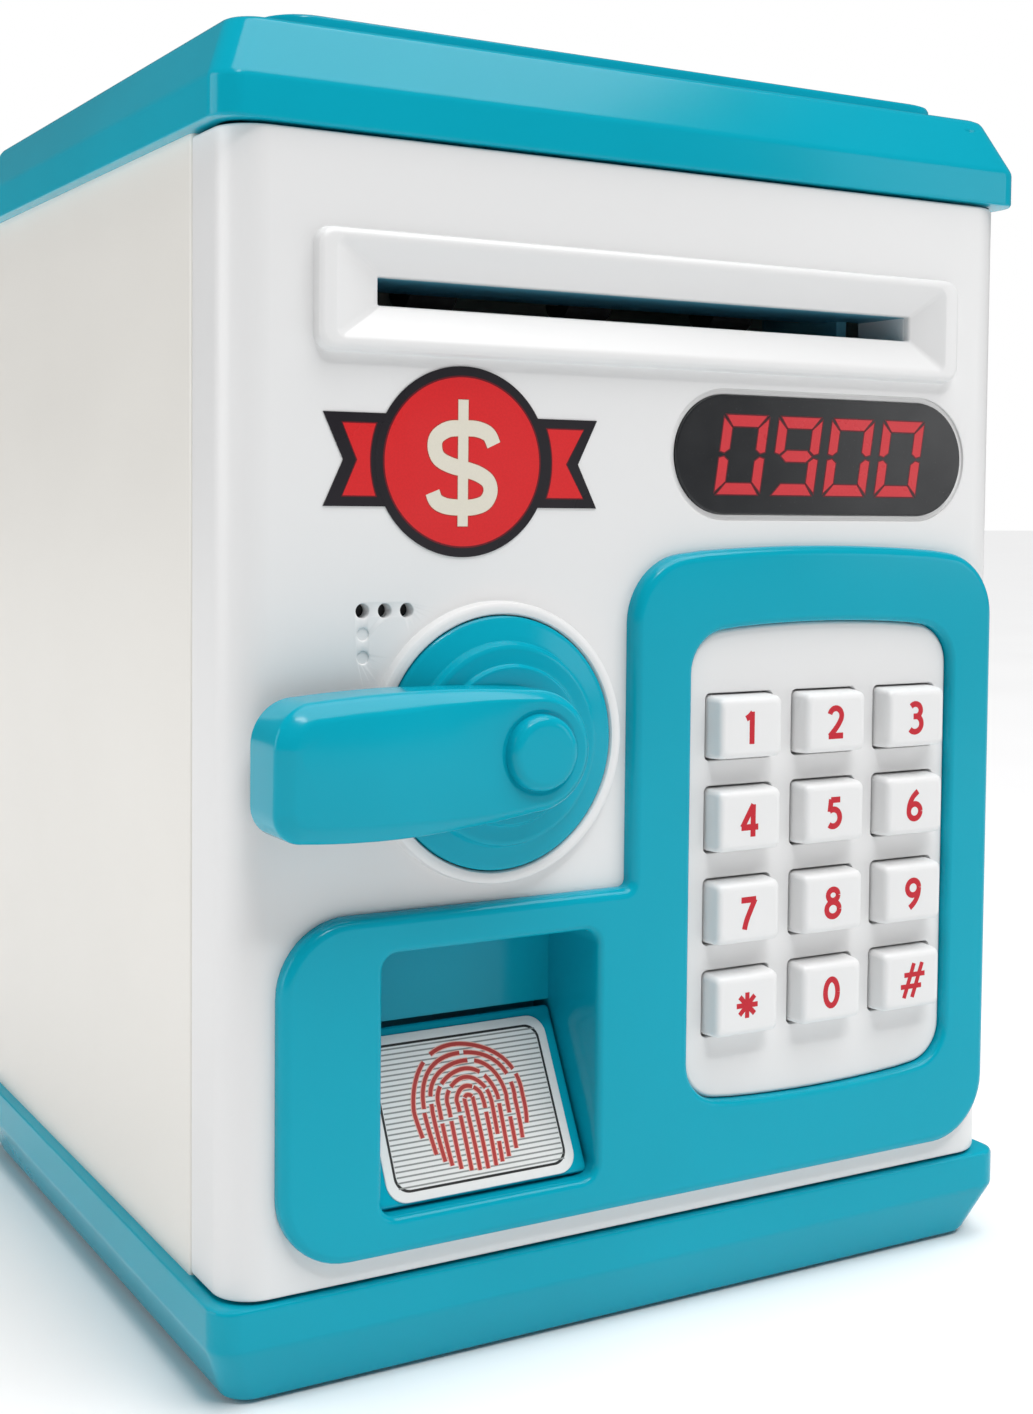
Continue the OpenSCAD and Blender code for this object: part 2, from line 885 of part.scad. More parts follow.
module feed_motor() {
    color(steel)
        difference() {
            intersection() {
                rod_x(feed_d, pinion_z, 10, 18, side_plate_x);
                block(0, side_plate_x, 0, 60, pinion_z - 7.7, pinion_z + 7.7);
            }
            rod_x(feed_d, pinion_z, 1 + fit_gap, 30, side_plate_x + 1);
        }
}

// Straight-sided gear teeth round a root circle
module gear_outline(teeth, turn) {
    pitch_r = gear_module * teeth / 2;
    root_r = pitch_r - 1.15 * gear_module;
    tip_r = pitch_r + 0.85 * gear_module;
    root_half = 0.42 * 360 / teeth / 2 * 1.25;
    tip_half = 0.42 * 360 / teeth / 2 * 0.6;
    circle(root_r);
    for (i = [0:teeth - 1])
        rotate(turn + i * 360 / teeth)
            polygon([
                [(root_r - 0.2) * cos(root_half), -(root_r - 0.2) * sin(root_half)],
                [tip_r * cos(tip_half), -tip_r * sin(tip_half)],
                [tip_r * cos(tip_half), tip_r * sin(tip_half)],
                [(root_r - 0.2) * cos(root_half), (root_r - 0.2) * sin(root_half)]
            ]);
}

module gear(z, teeth, turn, bore_r) {
    translate([gear_x[0], door_y + feed_d, z])
        rotate([90, 0, 90])
            linear_extrude(gear_x[1] - gear_x[0])
                difference() {
                    gear_outline(teeth, turn);
                    circle(bore_r);
                }
}

module roller_gear() {
    color(white)
        gear(feed_axis_z, roller_teeth, 0, shaft_r);
}

module idler_gear() {
    color(white)
        gear(idler_z, idler_teeth, 180 / idler_teeth, shaft_r + fit_gap);
}

module motor_pinion() {
    color(brass) {
        gear(pinion_z, pinion_teeth, 180 / pinion_teeth, 0.9);
        rod_x(feed_d, pinion_z, 1, 32, gear_x[1]);
    }
}

module feed_shaft() {
    color(steel)
        rod_x(feed_d, feed_axis_z, shaft_r, -side_plate_x - 3.5, gear_x[1] + 0.5);
}

module pinch_shaft() {
    color(steel)
        rod_x(feed_d, pinch_axis_z, shaft_r, -side_plate_x - 3.5, side_plate_x + 3.5);
}

module roller_set(z, r) {
    for (x = [-28, 0, 28])
        difference() {
            rod_x(feed_d, z, r, x - 4, x + 4);
            rod_x(feed_d, z, shaft_r, x - 5, x + 5);
        }
}

module feed_rollers() {
    color(black)
        roller_set(feed_axis_z, feed_roller_r);
}

module pinch_rollers() {
    color(white)
        roller_set(pinch_axis_z, pinch_r);
}

// ---- Batteries ----

module battery_box() {
    wall = 1.4;
    color(white)
        difference() {
            union() {
                block(box_x[0], box_x[1], box_d[0], box_d[1], box_z[0], box_z[1]);
                block(19, 26, box_d[0], box_d[1], box_z[0] - 6, box_z[0] + eps);
            }
            block(box_x[0] + wall, box_x[1] - wall, box_d[0] + wall, box_d[1] + 1,
                box_z[0] + wall, box_z[1] - wall);
            rod_y(22.5, box_z[0] - 3, 1.1, 20, box_d[1] + 1);
        }
}

module battery_cover() {
    color(white)
        difference() {
            union() {
                block(box_x[0], box_x[1], box_d[1], box_d[1] + 1.6, box_z[0], box_z[1]);
                block(19, 26, box_d[1], box_d[1] + 1.6, box_z[0] - 6, box_z[0] + eps);
            }
            rod_y(22.5, box_z[0] - 3, 1.3, box_d[1] - 1, box_d[1] + 3);
        }
}

module battery_screw() {
    color(steel)
        screw_y(22.5, box_z[0] - 3, 1.1, 22, box_d[1] + 1.6, 1.4);
}

module batteries() {
    color([0.2, 0.35, 0.6])
        for (x = cell_x) {
            rod_z(x, cell_d, cell_r, cell_z[0], cell_z[1] - 1);
            rod_z(x, cell_d, 2.7, cell_z[1] - 1 - eps, cell_z[1]);
        }
}

module battery_contacts() {
    inner_lo = box_z[0] + 1.4;
    inner_hi = box_z[1] - 1.4;
    color(steel)
        for (x = cell_x) {
            block(x - 5, x + 5, cell_d - 5, cell_d + 5, inner_lo, inner_lo + 0.5);
            rod_z(x, cell_d, 3, inner_lo + 0.5 - eps, cell_z[0]);
            block(x - 5, x + 5, cell_d - 5, cell_d + 5, inner_hi - 0.5, inner_hi);
            rod_z(x, cell_d, 2, cell_z[1], inner_hi - 0.5 + eps);
        }
}

in_frame() body_shell();
in_frame() base_tray();
in_frame() top_lid();
in_frame() foot_pads();
in_frame() base_screws();
in_frame() lid_screws();
in_frame() hinge_pins();
in_frame() latch_keeper();
in_frame() door_panel();
in_frame() door_back_cover();
in_frame() door_cover_screws();
in_frame() trim_panel();
in_frame() keypad_plate();
in_frame() display_window();
in_frame() badge_sticker();
in_frame() handle_rosette();
in_frame() key_membrane();
in_frame() keypad_board();
in_frame() main_board();
in_frame() board_chips();
in_frame() board_screws();
in_frame() speaker();
in_frame() finger_switch();
in_frame() latch_guide();
in_frame() lock_solenoid();
in_frame() slot_guide();
in_frame() feed_bracket();
in_frame() feed_motor();
in_frame() battery_box();
in_frame() batteries();
in_frame() battery_contacts();
in_frame() battery_cover();
in_frame() battery_screw();
in_frame() handle_lever();
in_frame() handle_cap();
in_frame() handle_screw();
in_frame() latch_cam();
in_frame() latch_bolt();
in_frame() lock_plunger();
in_frame() key(0, 0);  // key_1
in_frame() key(1, 0);  // key_2
in_frame() key(2, 0);  // key_3
in_frame() key(0, 1);  // key_4
in_frame() key(1, 1);  // key_5
in_frame() key(2, 1);  // key_6
in_frame() key(0, 2);  // key_7
in_frame() key(1, 2);  // key_8
in_frame() key(2, 2);  // key_9
in_frame() key(0, 3);  // key_star
in_frame() key(1, 3);  // key_0
in_frame() key(2, 3);  // key_hash
in_frame() finger_pad();
in_frame() finger_label();
in_frame() feed_shaft();
in_frame() feed_rollers();
in_frame() roller_gear();
in_frame() pinch_shaft();
in_frame() pinch_rollers();
in_frame() idler_gear();
in_frame() motor_pinion();
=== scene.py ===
import json
import math
import random

import bmesh
import bpy
from mathutils import Matrix, Vector


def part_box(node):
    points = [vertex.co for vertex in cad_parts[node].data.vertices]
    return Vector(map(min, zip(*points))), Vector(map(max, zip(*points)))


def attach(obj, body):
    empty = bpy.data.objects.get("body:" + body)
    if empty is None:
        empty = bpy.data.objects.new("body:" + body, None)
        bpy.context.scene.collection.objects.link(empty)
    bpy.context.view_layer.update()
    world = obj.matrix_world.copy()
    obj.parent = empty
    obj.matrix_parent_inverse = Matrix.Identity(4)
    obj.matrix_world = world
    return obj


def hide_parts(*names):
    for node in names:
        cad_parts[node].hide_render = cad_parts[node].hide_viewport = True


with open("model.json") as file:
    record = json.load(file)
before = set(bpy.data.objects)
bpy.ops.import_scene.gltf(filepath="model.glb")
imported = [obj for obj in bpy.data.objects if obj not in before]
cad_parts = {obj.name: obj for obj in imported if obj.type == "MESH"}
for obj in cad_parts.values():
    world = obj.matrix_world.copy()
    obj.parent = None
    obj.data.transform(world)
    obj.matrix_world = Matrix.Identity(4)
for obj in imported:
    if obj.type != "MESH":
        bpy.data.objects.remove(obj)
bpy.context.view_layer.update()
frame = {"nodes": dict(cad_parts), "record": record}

MM = 0.001

# ---------------------------------------------------------------------------
# Camera, first: the three-quarter view from the latch side, a little above the door's middle
# ---------------------------------------------------------------------------


def place_camera():
    """A camera turned towards the right, tipped slightly down, with a small shift for the framing."""
    data = bpy.data.cameras.new("camera")
    data.lens = 48.97
    data.sensor_width = 36
    data.shift_x = -0.0308
    data.shift_y = -0.0757
    data.clip_start = 0.01
    turn = Matrix.Rotation(math.radians(-30.55), 4, "Z")
    tip = Matrix.Rotation(math.radians(90 - 2.77), 4, "X")
    roll = Matrix.Rotation(math.radians(0.58), 4, "Z")
    camera = bpy.data.objects.new("camera", data)
    camera.matrix_world = Matrix.Translation((-0.16094, -0.29964, 0.12459)) @ turn @ tip @ roll
    bpy.context.scene.collection.objects.link(camera)
    bpy.context.scene.camera = camera


place_camera()

# ---------------------------------------------------------------------------
# Sizes, in millimetres, read off the frame. Depths run backwards from the door's face.
# ---------------------------------------------------------------------------


def box_mm(node):
    low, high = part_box(node)
    return low / MM, high / MM


FACE_Y = box_mm("badge_sticker")[1].y
LID_LO, LID_HI = box_mm("top_lid")
BASE_LO, BASE_HI = box_mm("base_tray")
SHELL_LO, SHELL_HI = box_mm("body_shell")
DOOR_LO, DOOR_HI = box_mm("door_panel")
TRIM_LO, TRIM_HI = box_mm("trim_panel")
PLATE_LO, PLATE_HI = box_mm("keypad_plate")
WINDOW_LO, WINDOW_HI = box_mm("display_window")
BADGE_LO, BADGE_HI = box_mm("badge_sticker")
ROSETTE_LO, ROSETTE_HI = box_mm("handle_rosette")
GUIDE_LO, GUIDE_HI = box_mm("slot_guide")
AXIS_X = (ROSETTE_LO.x + ROSETTE_HI.x) / 2
AXIS_Z = (ROSETTE_LO.z + ROSETTE_HI.z) / 2
SLOT_Z = (GUIDE_LO.z + GUIDE_HI.z) / 2
HINGE_X, HINGE_D = box_mm("hinge_pins")[1].x - 1.5, 7.0
DOOR_T = DOOR_HI.y - FACE_Y
MID_Y = (LID_LO.y + LID_HI.y) / 2

# ---------------------------------------------------------------------------
# Outlines: closed lists of points, anticlockwise
# ---------------------------------------------------------------------------


def arc(cx, cy, r, start, end, steps):
    """Points along an arc, angles in degrees."""
    points = []
    for i in range(steps + 1):
        a = math.radians(start + (end - start) * i / steps)
        points.append((cx + r * math.cos(a), cy + r * math.sin(a)))
    return points


def circle(cx, cy, r, steps=48):
    return arc(cx, cy, r, 0, 360, steps)[:-1]


def round_rect(x0, y0, x1, y1, r, steps=8):
    return (
        arc(x1 - r, y0 + r, r, -90, 0, steps)
        + arc(x1 - r, y1 - r, r, 0, 90, steps)
        + arc(x0 + r, y1 - r, r, 90, 180, steps)
        + arc(x0 + r, y0 + r, r, 180, 270, steps)
    )


def rounded(corners, steps=6):
    """Closed outline through corners given as (x, y, radius)."""
    points = []
    count = len(corners)
    for i, (x, y, r) in enumerate(corners):
        here = Vector((x, y))
        back = (Vector(corners[i - 1][:2]) - here).normalized()
        ahead = (Vector(corners[(i + 1) % count][:2]) - here).normalized()
        half = back.angle(ahead) / 2
        reach = r / math.tan(half)
        a, b = here + back * reach, here + ahead * reach
        if r < 1e-6:
            points.append((x, y))
            continue
        centre = here + (back + ahead).normalized() * (r / math.sin(half))
        start = math.atan2(a.y - centre.y, a.x - centre.x)
        end = math.atan2(b.y - centre.y, b.x - centre.x)
        turn = (end - start + math.pi) % (2 * math.pi) - math.pi
        for k in range(steps + 1):
            t = start + turn * k / steps
            points.append((centre.x + r * math.cos(t), centre.y + r * math.sin(t)))
    return points


def curve(a, control, b, steps):
    """Points of a quadratic curve, without its two ends."""
    points = []
    for i in range(1, steps):
        t = i / steps
        points.append(
            tuple((1 - t) ** 2 * a[k] + 2 * t * (1 - t) * control[k] + t * t * b[k] for k in (0, 1))
        )
    return points


def smooth_path(points, steps=8):
    """Open path through the points, rounded between them."""
    path = []
    last = len(points) - 1
    for i in range(last):
        p0, p1 = Vector(points[max(i - 1, 0)]), Vector(points[i])
        p2, p3 = Vector(points[i + 1]), Vector(points[min(i + 2, last)])
        for k in range(steps):
            t = k / steps
            path.append(
                0.5 * (2 * p1 + (p2 - p0) * t + (2 * p0 - 5 * p1 + 4 * p2 - p3) * t * t
                       + (3 * p1 - p0 - 3 * p2 + p3) * t ** 3)
            )
    path.append(Vector(points[last]))
    return path


def stroke(path, width):
    """Closed outline of a line of even width along an open path."""
    left, right = [], []
    for i, p in enumerate(path):
        a, b = path[max(i - 1, 0)], path[min(i + 1, len(path) - 1)]
        along = (Vector(b) - Vector(a)).normalized()
        side = Vector((-along.y, along.x)) * width / 2
        left.append(tuple(Vector(p) + side))
        right.append(tuple(Vector(p) - side))
    return right + left[::-1]


def inset(points, amount):
    """The outline moved inwards by amount, a number or a function of the place; outwards where negative."""
    reach_at = amount if callable(amount) else (lambda x, y: amount)
    moved = []
    count = len(points)
    for i, p in enumerate(points):
        back = Vector(p) - Vector(points[i - 1])
        ahead = Vector(points[(i + 1) % count]) - Vector(p)
        if back.length < 1e-9 or ahead.length < 1e-9:
            back = ahead = back if ahead.length < 1e-9 else ahead
        n1 = Vector((-back.y, back.x)).normalized()
        n2 = Vector((-ahead.y, ahead.x)).normalized()
        step = reach_at(*p) / max(1 + n1.dot(n2), 0.3)
        moved.append((p[0] + step * (n1.x + n2.x), p[1] + step * (n1.y + n2.y)))
    return moved


def ease(value, start, length):
    """Rises evenly from 0 at the start to 1 after the length."""
    return min(max((value - start) / length, 0), 1)


def edge_round(r, front, steps=5):
    """(inset, depth) pairs that roll a side wall over into a front face."""
    pairs = []
    for i in range(steps + 1):
        a = math.pi / 2 * i / steps
        pairs.append((r * (1 - math.cos(a)), front + r * (1 - math.sin(a))))
    return pairs


# ---------------------------------------------------------------------------
# Mesh building
# ---------------------------------------------------------------------------


def on_face(x, z, depth):
    """Front features: X and Z on the door's face, and depth behind it."""
    return Vector((x, FACE_Y + depth, z)) * MM


def on_plan(x, y, height):
    """Cabinet features: X and Y on the plan, and height."""
    return Vector((x, y, height)) * MM


class Maker:
    """Builds one closed mesh from rings of points."""

    def __init__(self, place=on_face):
        self.bm = bmesh.new()
        self.place = place
        self.material = 0

    def ring(self, points, depth):
        depths = depth if callable(depth) else (lambda x, y: depth)
        return [self.bm.verts.new(self.place(x, y, depths(x, y))) for x, y in points]

    def skin(self, a, b, closed=True):
        count = len(a)
        for i in range(count if closed else count - 1):
            j = (i + 1) % count
            face = self.bm.faces.new((a[i], a[j], b[j], b[i]))
            face.material_index = self.material
        return b

    def join(self, rings):
        """Skins each ring to the next. Returns the first and the last."""
        for a, b in zip(rings, rings[1:]):
            self.skin(a, b)
        return rings[0], rings[-1]

    def tube(self, outline_at, pairs):
        """Skins rings of an outline that follows an amount; pairs are (amount, depth)."""
        return self.join([self.ring(outline_at(amount), depth) for amount, depth in pairs])

    def rings(self, outline, pairs):
        """Skins rings of one outline drawn inwards; pairs are (inset, depth)."""
        return self.tube(lambda amount: inset(outline, amount) if amount else outline, pairs)

    def wall(self, outline, start, end):
        """Straight wall along an outline, from one depth to another."""
        return self.rings(outline, [(0, start), (0, end)])

    def cap(self, ring):
        face = self.bm.faces.new(ring)
        face.material_index = self.material

    def fill(self, *loops):
        """Flat face bounded by the first loop, with the others as holes in it."""
        edges = []
        for loop in loops:
            for a, b in zip(loop, loop[1:] + loop[:1]):
                edges.append(self.bm.edges.get((a, b)) or self.bm.edges.new((a, b)))
        made = bmesh.ops.triangle_fill(self.bm, use_beauty=True, use_dissolve=False, edges=edges)
        for face in [f for f in made["geom"] if isinstance(f, bmesh.types.BMFace)]:
            face.material_index = self.material

    def plate(self, outline, back, pairs, material=0):
        """Closed solid from a flat back to a front whose edge follows the pairs."""
        self.material = material
        first, last = self.rings(outline, [(pairs[0][0], back)] + pairs)
        self.cap(first[::-1])
        self.cap(last)

    def slab(self, outline, back, front, material=0):
        self.plate(outline, back, [(0, front)], material)

    def finish(self, name, body, materials, replaces=(), slot=None, angle=32):
        bmesh.ops.remove_doubles(self.bm, verts=self.bm.verts, dist=1e-7)
        bmesh.ops.recalc_face_normals(self.bm, faces=self.bm.faces)
        mesh = bpy.data.meshes.new(name)
        self.bm.to_mesh(mesh)
        self.bm.free()
        return dress(mesh, name, body, materials, replaces, angle)


def dress(mesh, name, body, materials, replaces=(), angle=32):
    """Makes a finished piece of a mesh: shading, materials, the body it rides on and what it replaces."""
    for face in mesh.polygons:
        face.use_smooth = True
    mesh.set_sharp_from_angle(angle=math.radians(angle))
    for material in materials:
        mesh.materials.append(material)
    piece = bpy.data.objects.new(name, mesh)
    bpy.context.scene.collection.objects.link(piece)
    weighted = piece.modifiers.new("even_shading", "WEIGHTED_NORMAL")
    weighted.keep_sharp = True
    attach(piece, body)
    if replaces:
        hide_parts(*replaces)
    return piece


# ---------------------------------------------------------------------------
# Materials
# ---------------------------------------------------------------------------


class Nodes:
    """Short names for the nodes that a material needs."""

    def __init__(self, name):
        self.material = bpy.data.materials.new(name)
        self.material.use_nodes = True
        self.tree = self.material.node_tree
        self.shader = self.tree.nodes["Principled BSDF"]
        coords = self.tree.nodes.new("ShaderNodeTexCoord")
        self.object_coords = coords.outputs["Object"]

    def add(self, kind, **settings):
        node = self.tree.nodes.new("ShaderNode" + kind)
        for key, value in settings.items():
            if key in node.inputs:
                node.inputs[key].default_value = value
            else:
                setattr(node, key, value)
        return node

    def link(self, output, node, socket):
        self.tree.links.new(output, node.inputs[socket])

    def noise(self, scale, detail=4, rough=0.55, stretch=None):
        source = self.object_coords
        if stretch:
            mapping = self.add("Mapping")
            mapping.inputs["Scale"].default_value = stretch
            self.link(source, mapping, "Vector")
            source = mapping.outputs["Vector"]
        node = self.add("TexNoise", Scale=scale, Detail=detail, Roughness=rough)
        self.link(source, node, "Vector")
        return node.outputs["Fac"]

    def ramp(self, value, low, high, out_low, out_high):
        node = self.add("MapRange")
        for socket, number in (("From Min", low), ("From Max", high),
                               ("To Min", out_low), ("To Max", out_high)):
            node.inputs[socket].default_value = number
        self.link(value, node, "Value")
        return node.outputs["Result"]

    def mix(self, factor, a, b):
        node = self.add("Mix", data_type="RGBA")
        self.link(factor, node, 0)
        for socket, value in ((6, a), (7, b)):
            if isinstance(value, (tuple, list)):
                node.inputs[socket].default_value = (*value[:3], 1)
            else:
                self.tree.links.new(value, node.inputs[socket])
        return node.outputs[2]

    def bump(self, heights, distance):
        """Adds bumps on top of one another; heights are (value, strength)."""
        normal = None
        for height, strength in heights:
            node = self.add("Bump", Strength=strength, Distance=distance)
            self.link(height, node, "Height")
            if normal:
                self.link(normal, node, "Normal")
            normal = node.outputs["Normal"]
        self.link(normal, self.shader, "Normal")


def moulded(name, color, rough, shade=0.04, grain=0.0, wave=0.12, gloss=0.5, sub=0.0):
    """Injection-moulded plastic: slight colour drift, handling smudges, sink waves and a fine grain."""
    n = Nodes(name)
    dark = tuple(c * (1 - shade) for c in color)
    light = tuple(min(c * (1 + shade), 1) for c in color)
    drift = n.ramp(n.noise(14, 3), 0.35, 0.65, 0, 1)
    n.link(n.mix(drift, dark, light), n.shader, "Base Color")
    smudge = n.ramp(n.noise(45, 5, 0.65), 0.38, 0.72, rough * 0.93, rough * 1.12)
    n.link(smudge, n.shader, "Roughness")
    heights = [(n.noise(38, 2), wave)]
    if grain:
        heights.append((n.noise(2600, 2, 0.6), grain))
    n.bump(heights, 0.0003)
    n.shader.inputs["IOR"].default_value = 1.46
    n.shader.inputs["Specular IOR Level"].default_value = gloss
    if sub:
        n.shader.inputs["Subsurface Weight"].default_value = sub
        n.shader.inputs["Subsurface Radius"].default_value = (0.004, 0.004, 0.004)
        n.shader.inputs["Subsurface Scale"].default_value = 0.4
    return n.material


def printed(name, color, rough=0.35, dots=0.05):
    """Ink on film: a faint halftone and an even sheen."""
    n = Nodes(name)
    spots = n.ramp(n.noise(3200, 1), 0.4, 0.6, 0, 1)
    n.link(n.mix(spots, tuple(c * (1 - dots) for c in color), color), n.shader, "Base Color")
    n.link(n.ramp(n.noise(60, 4), 0.35, 0.7, rough * 0.8, rough * 1.3), n.shader, "Roughness")
    n.bump([(n.noise(900, 2), 0.04)], 0.0001)
    n.shader.inputs["Specular IOR Level"].default_value = 0.3
    return n.material


def metal(name, color, rough, stretch=(1, 1, 60), scratch=0.12):
    """Drawn or turned metal: fine scratches along one direction and a little tarnish."""
    n = Nodes(name)
    n.shader.inputs["Metallic"].default_value = 1
    tarnish = n.ramp(n.noise(120, 5), 0.35, 0.75, 0, 1)
    n.link(n.mix(tarnish, color, tuple(c * 0.72 for c in color)), n.shader, "Base Color")
    lines = n.noise(420, 3, 0.6, stretch)
    n.link(n.ramp(lines, 0.3, 0.7, rough * 0.75, rough * 1.4), n.shader, "Roughness")
    n.bump([(lines, scratch)], 0.0001)
    return n.material


def rubber(name, color):
    n = Nodes(name)
    dust = n.ramp(n.noise(180, 6, 0.7), 0.45, 0.8, 0, 1)
    n.link(n.mix(dust, color, tuple(min(c * 1.8 + 0.02, 1) for c in color)), n.shader, "Base Color")
    n.link(n.ramp(n.noise(300, 4), 0.3, 0.7, 0.6, 0.85), n.shader, "Roughness")
    n.bump([(n.noise(1500, 3), 0.3)], 0.0002)
    return n.material


def circuit(name, mask, copper):
    """Solder mask over a grid of tracks, with bare pads."""
    n = Nodes(name)
    brick = n.add("TexBrick", Scale=230.0)
    brick.inputs["Mortar Size"].default_value = 0.06
    brick.inputs["Brick Width"].default_value = 0.9
    brick.inputs["Row Height"].default_value = 0.32
    mapping = n.add("Mapping")
    mapping.inputs["Rotation"].default_value = (math.radians(90), 0, 0)
    n.link(n.object_coords, mapping, "Vector")
    n.link(mapping.outputs["Vector"], brick, "Vector")
    tracks = n.ramp(brick.outputs["Fac"], 0, 1, 0, 1)
    n.link(n.mix(tracks, mask, copper), n.shader, "Base Color")
    n.link(n.ramp(n.noise(150, 4), 0.3, 0.7, 0.28, 0.45), n.shader, "Roughness")
    n.bump([(tracks, 0.25)], 0.0001)
    return n.material


def glossy_black(name):
    """Black print under a clear film, with fine dust and wipe marks."""
    n = Nodes(name)
    dust = n.ramp(n.noise(2200, 2), 0.68, 0.78, 0, 1)
    n.link(n.mix(dust, (0.017, 0.018, 0.020), (0.04, 0.041, 0.045)), n.shader, "Base Color")
    n.link(n.ramp(n.noise(40, 5, 0.7), 0.35, 0.7, 0.16, 0.3), n.shader, "Roughness")
    n.bump([(n.noise(55, 2), 0.05)], 0.0003)
    n.shader.inputs["Specular IOR Level"].default_value = 0.35
    return n.material


TEAL = moulded("teal_plastic", (0.002, 0.352, 0.475), 0.16, wave=0.03, gloss=0.2)
WHITE = moulded("white_plastic", (0.77, 0.77, 0.77), 0.3, shade=0.008, wave=0.012)
CREAM = moulded("cream_plastic", (0.80, 0.78, 0.735), 0.36, shade=0.008, grain=0.04, wave=0.015)
KEY = moulded("key_plastic", (0.79, 0.79, 0.79), 0.34, shade=0.008, wave=0.01, sub=0.1)
INNER = moulded("inner_plastic", (0.72, 0.72, 0.70), 0.5, grain=0.1)
FEEDER = moulded("feeder_blue_plastic", (0.10, 0.36, 0.48), 0.4, grain=0.1)
GEAR = moulded("gear_plastic", (0.78, 0.77, 0.70), 0.42, grain=0.05)
CHIP = moulded("chip_black", (0.02, 0.02, 0.022), 0.5, grain=0.2)
LEGEND = printed("legend_ink", (0.54, 0.012, 0.026))
BADGE_BLACK = printed("badge_black", (0.014, 0.012, 0.016), 0.3)
BADGE_RED = printed("badge_red", (0.66, 0.020, 0.023), 0.3)
BADGE_EDGE = printed("badge_edge", (0.14, 0.008, 0.014), 0.3)
BADGE_CREAM = printed("badge_cream", (0.72, 0.68, 0.58), 0.3, 0.02)
BADGE_PEACH = printed("badge_peach", (0.80, 0.55, 0.42), 0.3, 0.02)
DIGIT_RED = printed("digit_red", (0.60, 0.035, 0.045), 0.3)
DIGIT_EDGE = printed("digit_edge", (0.11, 0.006, 0.012), 0.3)
LABEL_WHITE = printed("label_white", (0.78, 0.78, 0.77), 0.3, 0.01)
LABEL_LINE = printed("label_line", (0.28, 0.29, 0.28), 0.35)
LABEL_BLACK = printed("label_black", (0.03, 0.03, 0.03), 0.35)
RIDGE_RED = printed("ridge_red", (0.44, 0.050, 0.045), 0.35)
RIDGE_HALO = printed("ridge_halo", (0.80, 0.42, 0.36), 0.35)
DISPLAY = glossy_black("display_gloss")
STEEL = metal("screw_steel", (0.60, 0.61, 0.63), 0.28)
PRESSED = metal("pressed_steel", (0.62, 0.63, 0.65), 0.34, (60, 1, 1))
BRASS = metal("pinion_brass", (0.75, 0.54, 0.22), 0.25)
RUBBER = rubber("black_rubber", (0.018, 0.018, 0.019))
SILICONE = rubber("dome_rubber", (0.55, 0.57, 0.60))
BOARD = circuit("circuit_board", (0.02, 0.16, 0.06), (0.03, 0.26, 0.10))

RECORD = frame["record"]
NODE_BODY = {n: b for b, names in RECORD["behaviour"]["bodies"].items() for n in names}

# ---------------------------------------------------------------------------
# Cabinet: lid, base and shell
# ---------------------------------------------------------------------------

RIM_R = 4.0
LID_BAND = 5.7
PAD_RISE = 2.2
PAD_HALF_W = 60
PAD_MARGIN = 7.3
COIN_SLOT = (16, 1.6, 0.6)
BASE_BAND = 8.45
TRAY_FLOOR = 2.5
FOOT_R = 6
FEET = [(x, MID_Y + y) for x in (-44, 44) for y in (-46, 46)]
SHELL_FRONT = FACE_Y + 14.6
SHELL_BACK = SHELL_HI.y
SHELL_WALL = 2.2
POSTS = [(x, y) for x in (-60.5, 60.5) for y in (FACE_Y + 22.5, SHELL_BACK - 9.5)]
POST_R = 4
POST_HOLE = 1.45


def rim(amount):
    """Plan of the lid or the base, drawn inwards."""
    return round_rect(LID_LO.x + amount, LID_LO.y + amount, LID_HI.x - amount, LID_HI.y - amount, RIM_R, 8)


def centred(half_x, half_y, r):
    return round_rect(-half_x, MID_Y - half_y, half_x, MID_Y + half_y, r, 6)


def raised_pad(amount):
    return round_rect(-PAD_HALF_W + amount, LID_LO.y + PAD_MARGIN + amount,
                      PAD_HALF_W - amount, LID_HI.y - PAD_MARGIN - amount, 6)


def coin_slot(amount):
    return centred(*[size + amount for size in COIN_SLOT])


def post(m, x, y, r, hole, low, high, bottom_open=True):
    """Screw post with a blind hole in one end."""
    open_z, shut_z = (low, high) if bottom_open else (high, low)
    deep = open_z + (shut_z - open_z) * 0.7
    shut, mouth = m.wall(circle(x, y, r, 32), shut_z, open_z)
    lip, bottom = m.wall(circle(x, y, hole, 32), open_z, deep)
    m.skin(mouth, lip)
    m.cap(bottom)
    m.cap(shut)


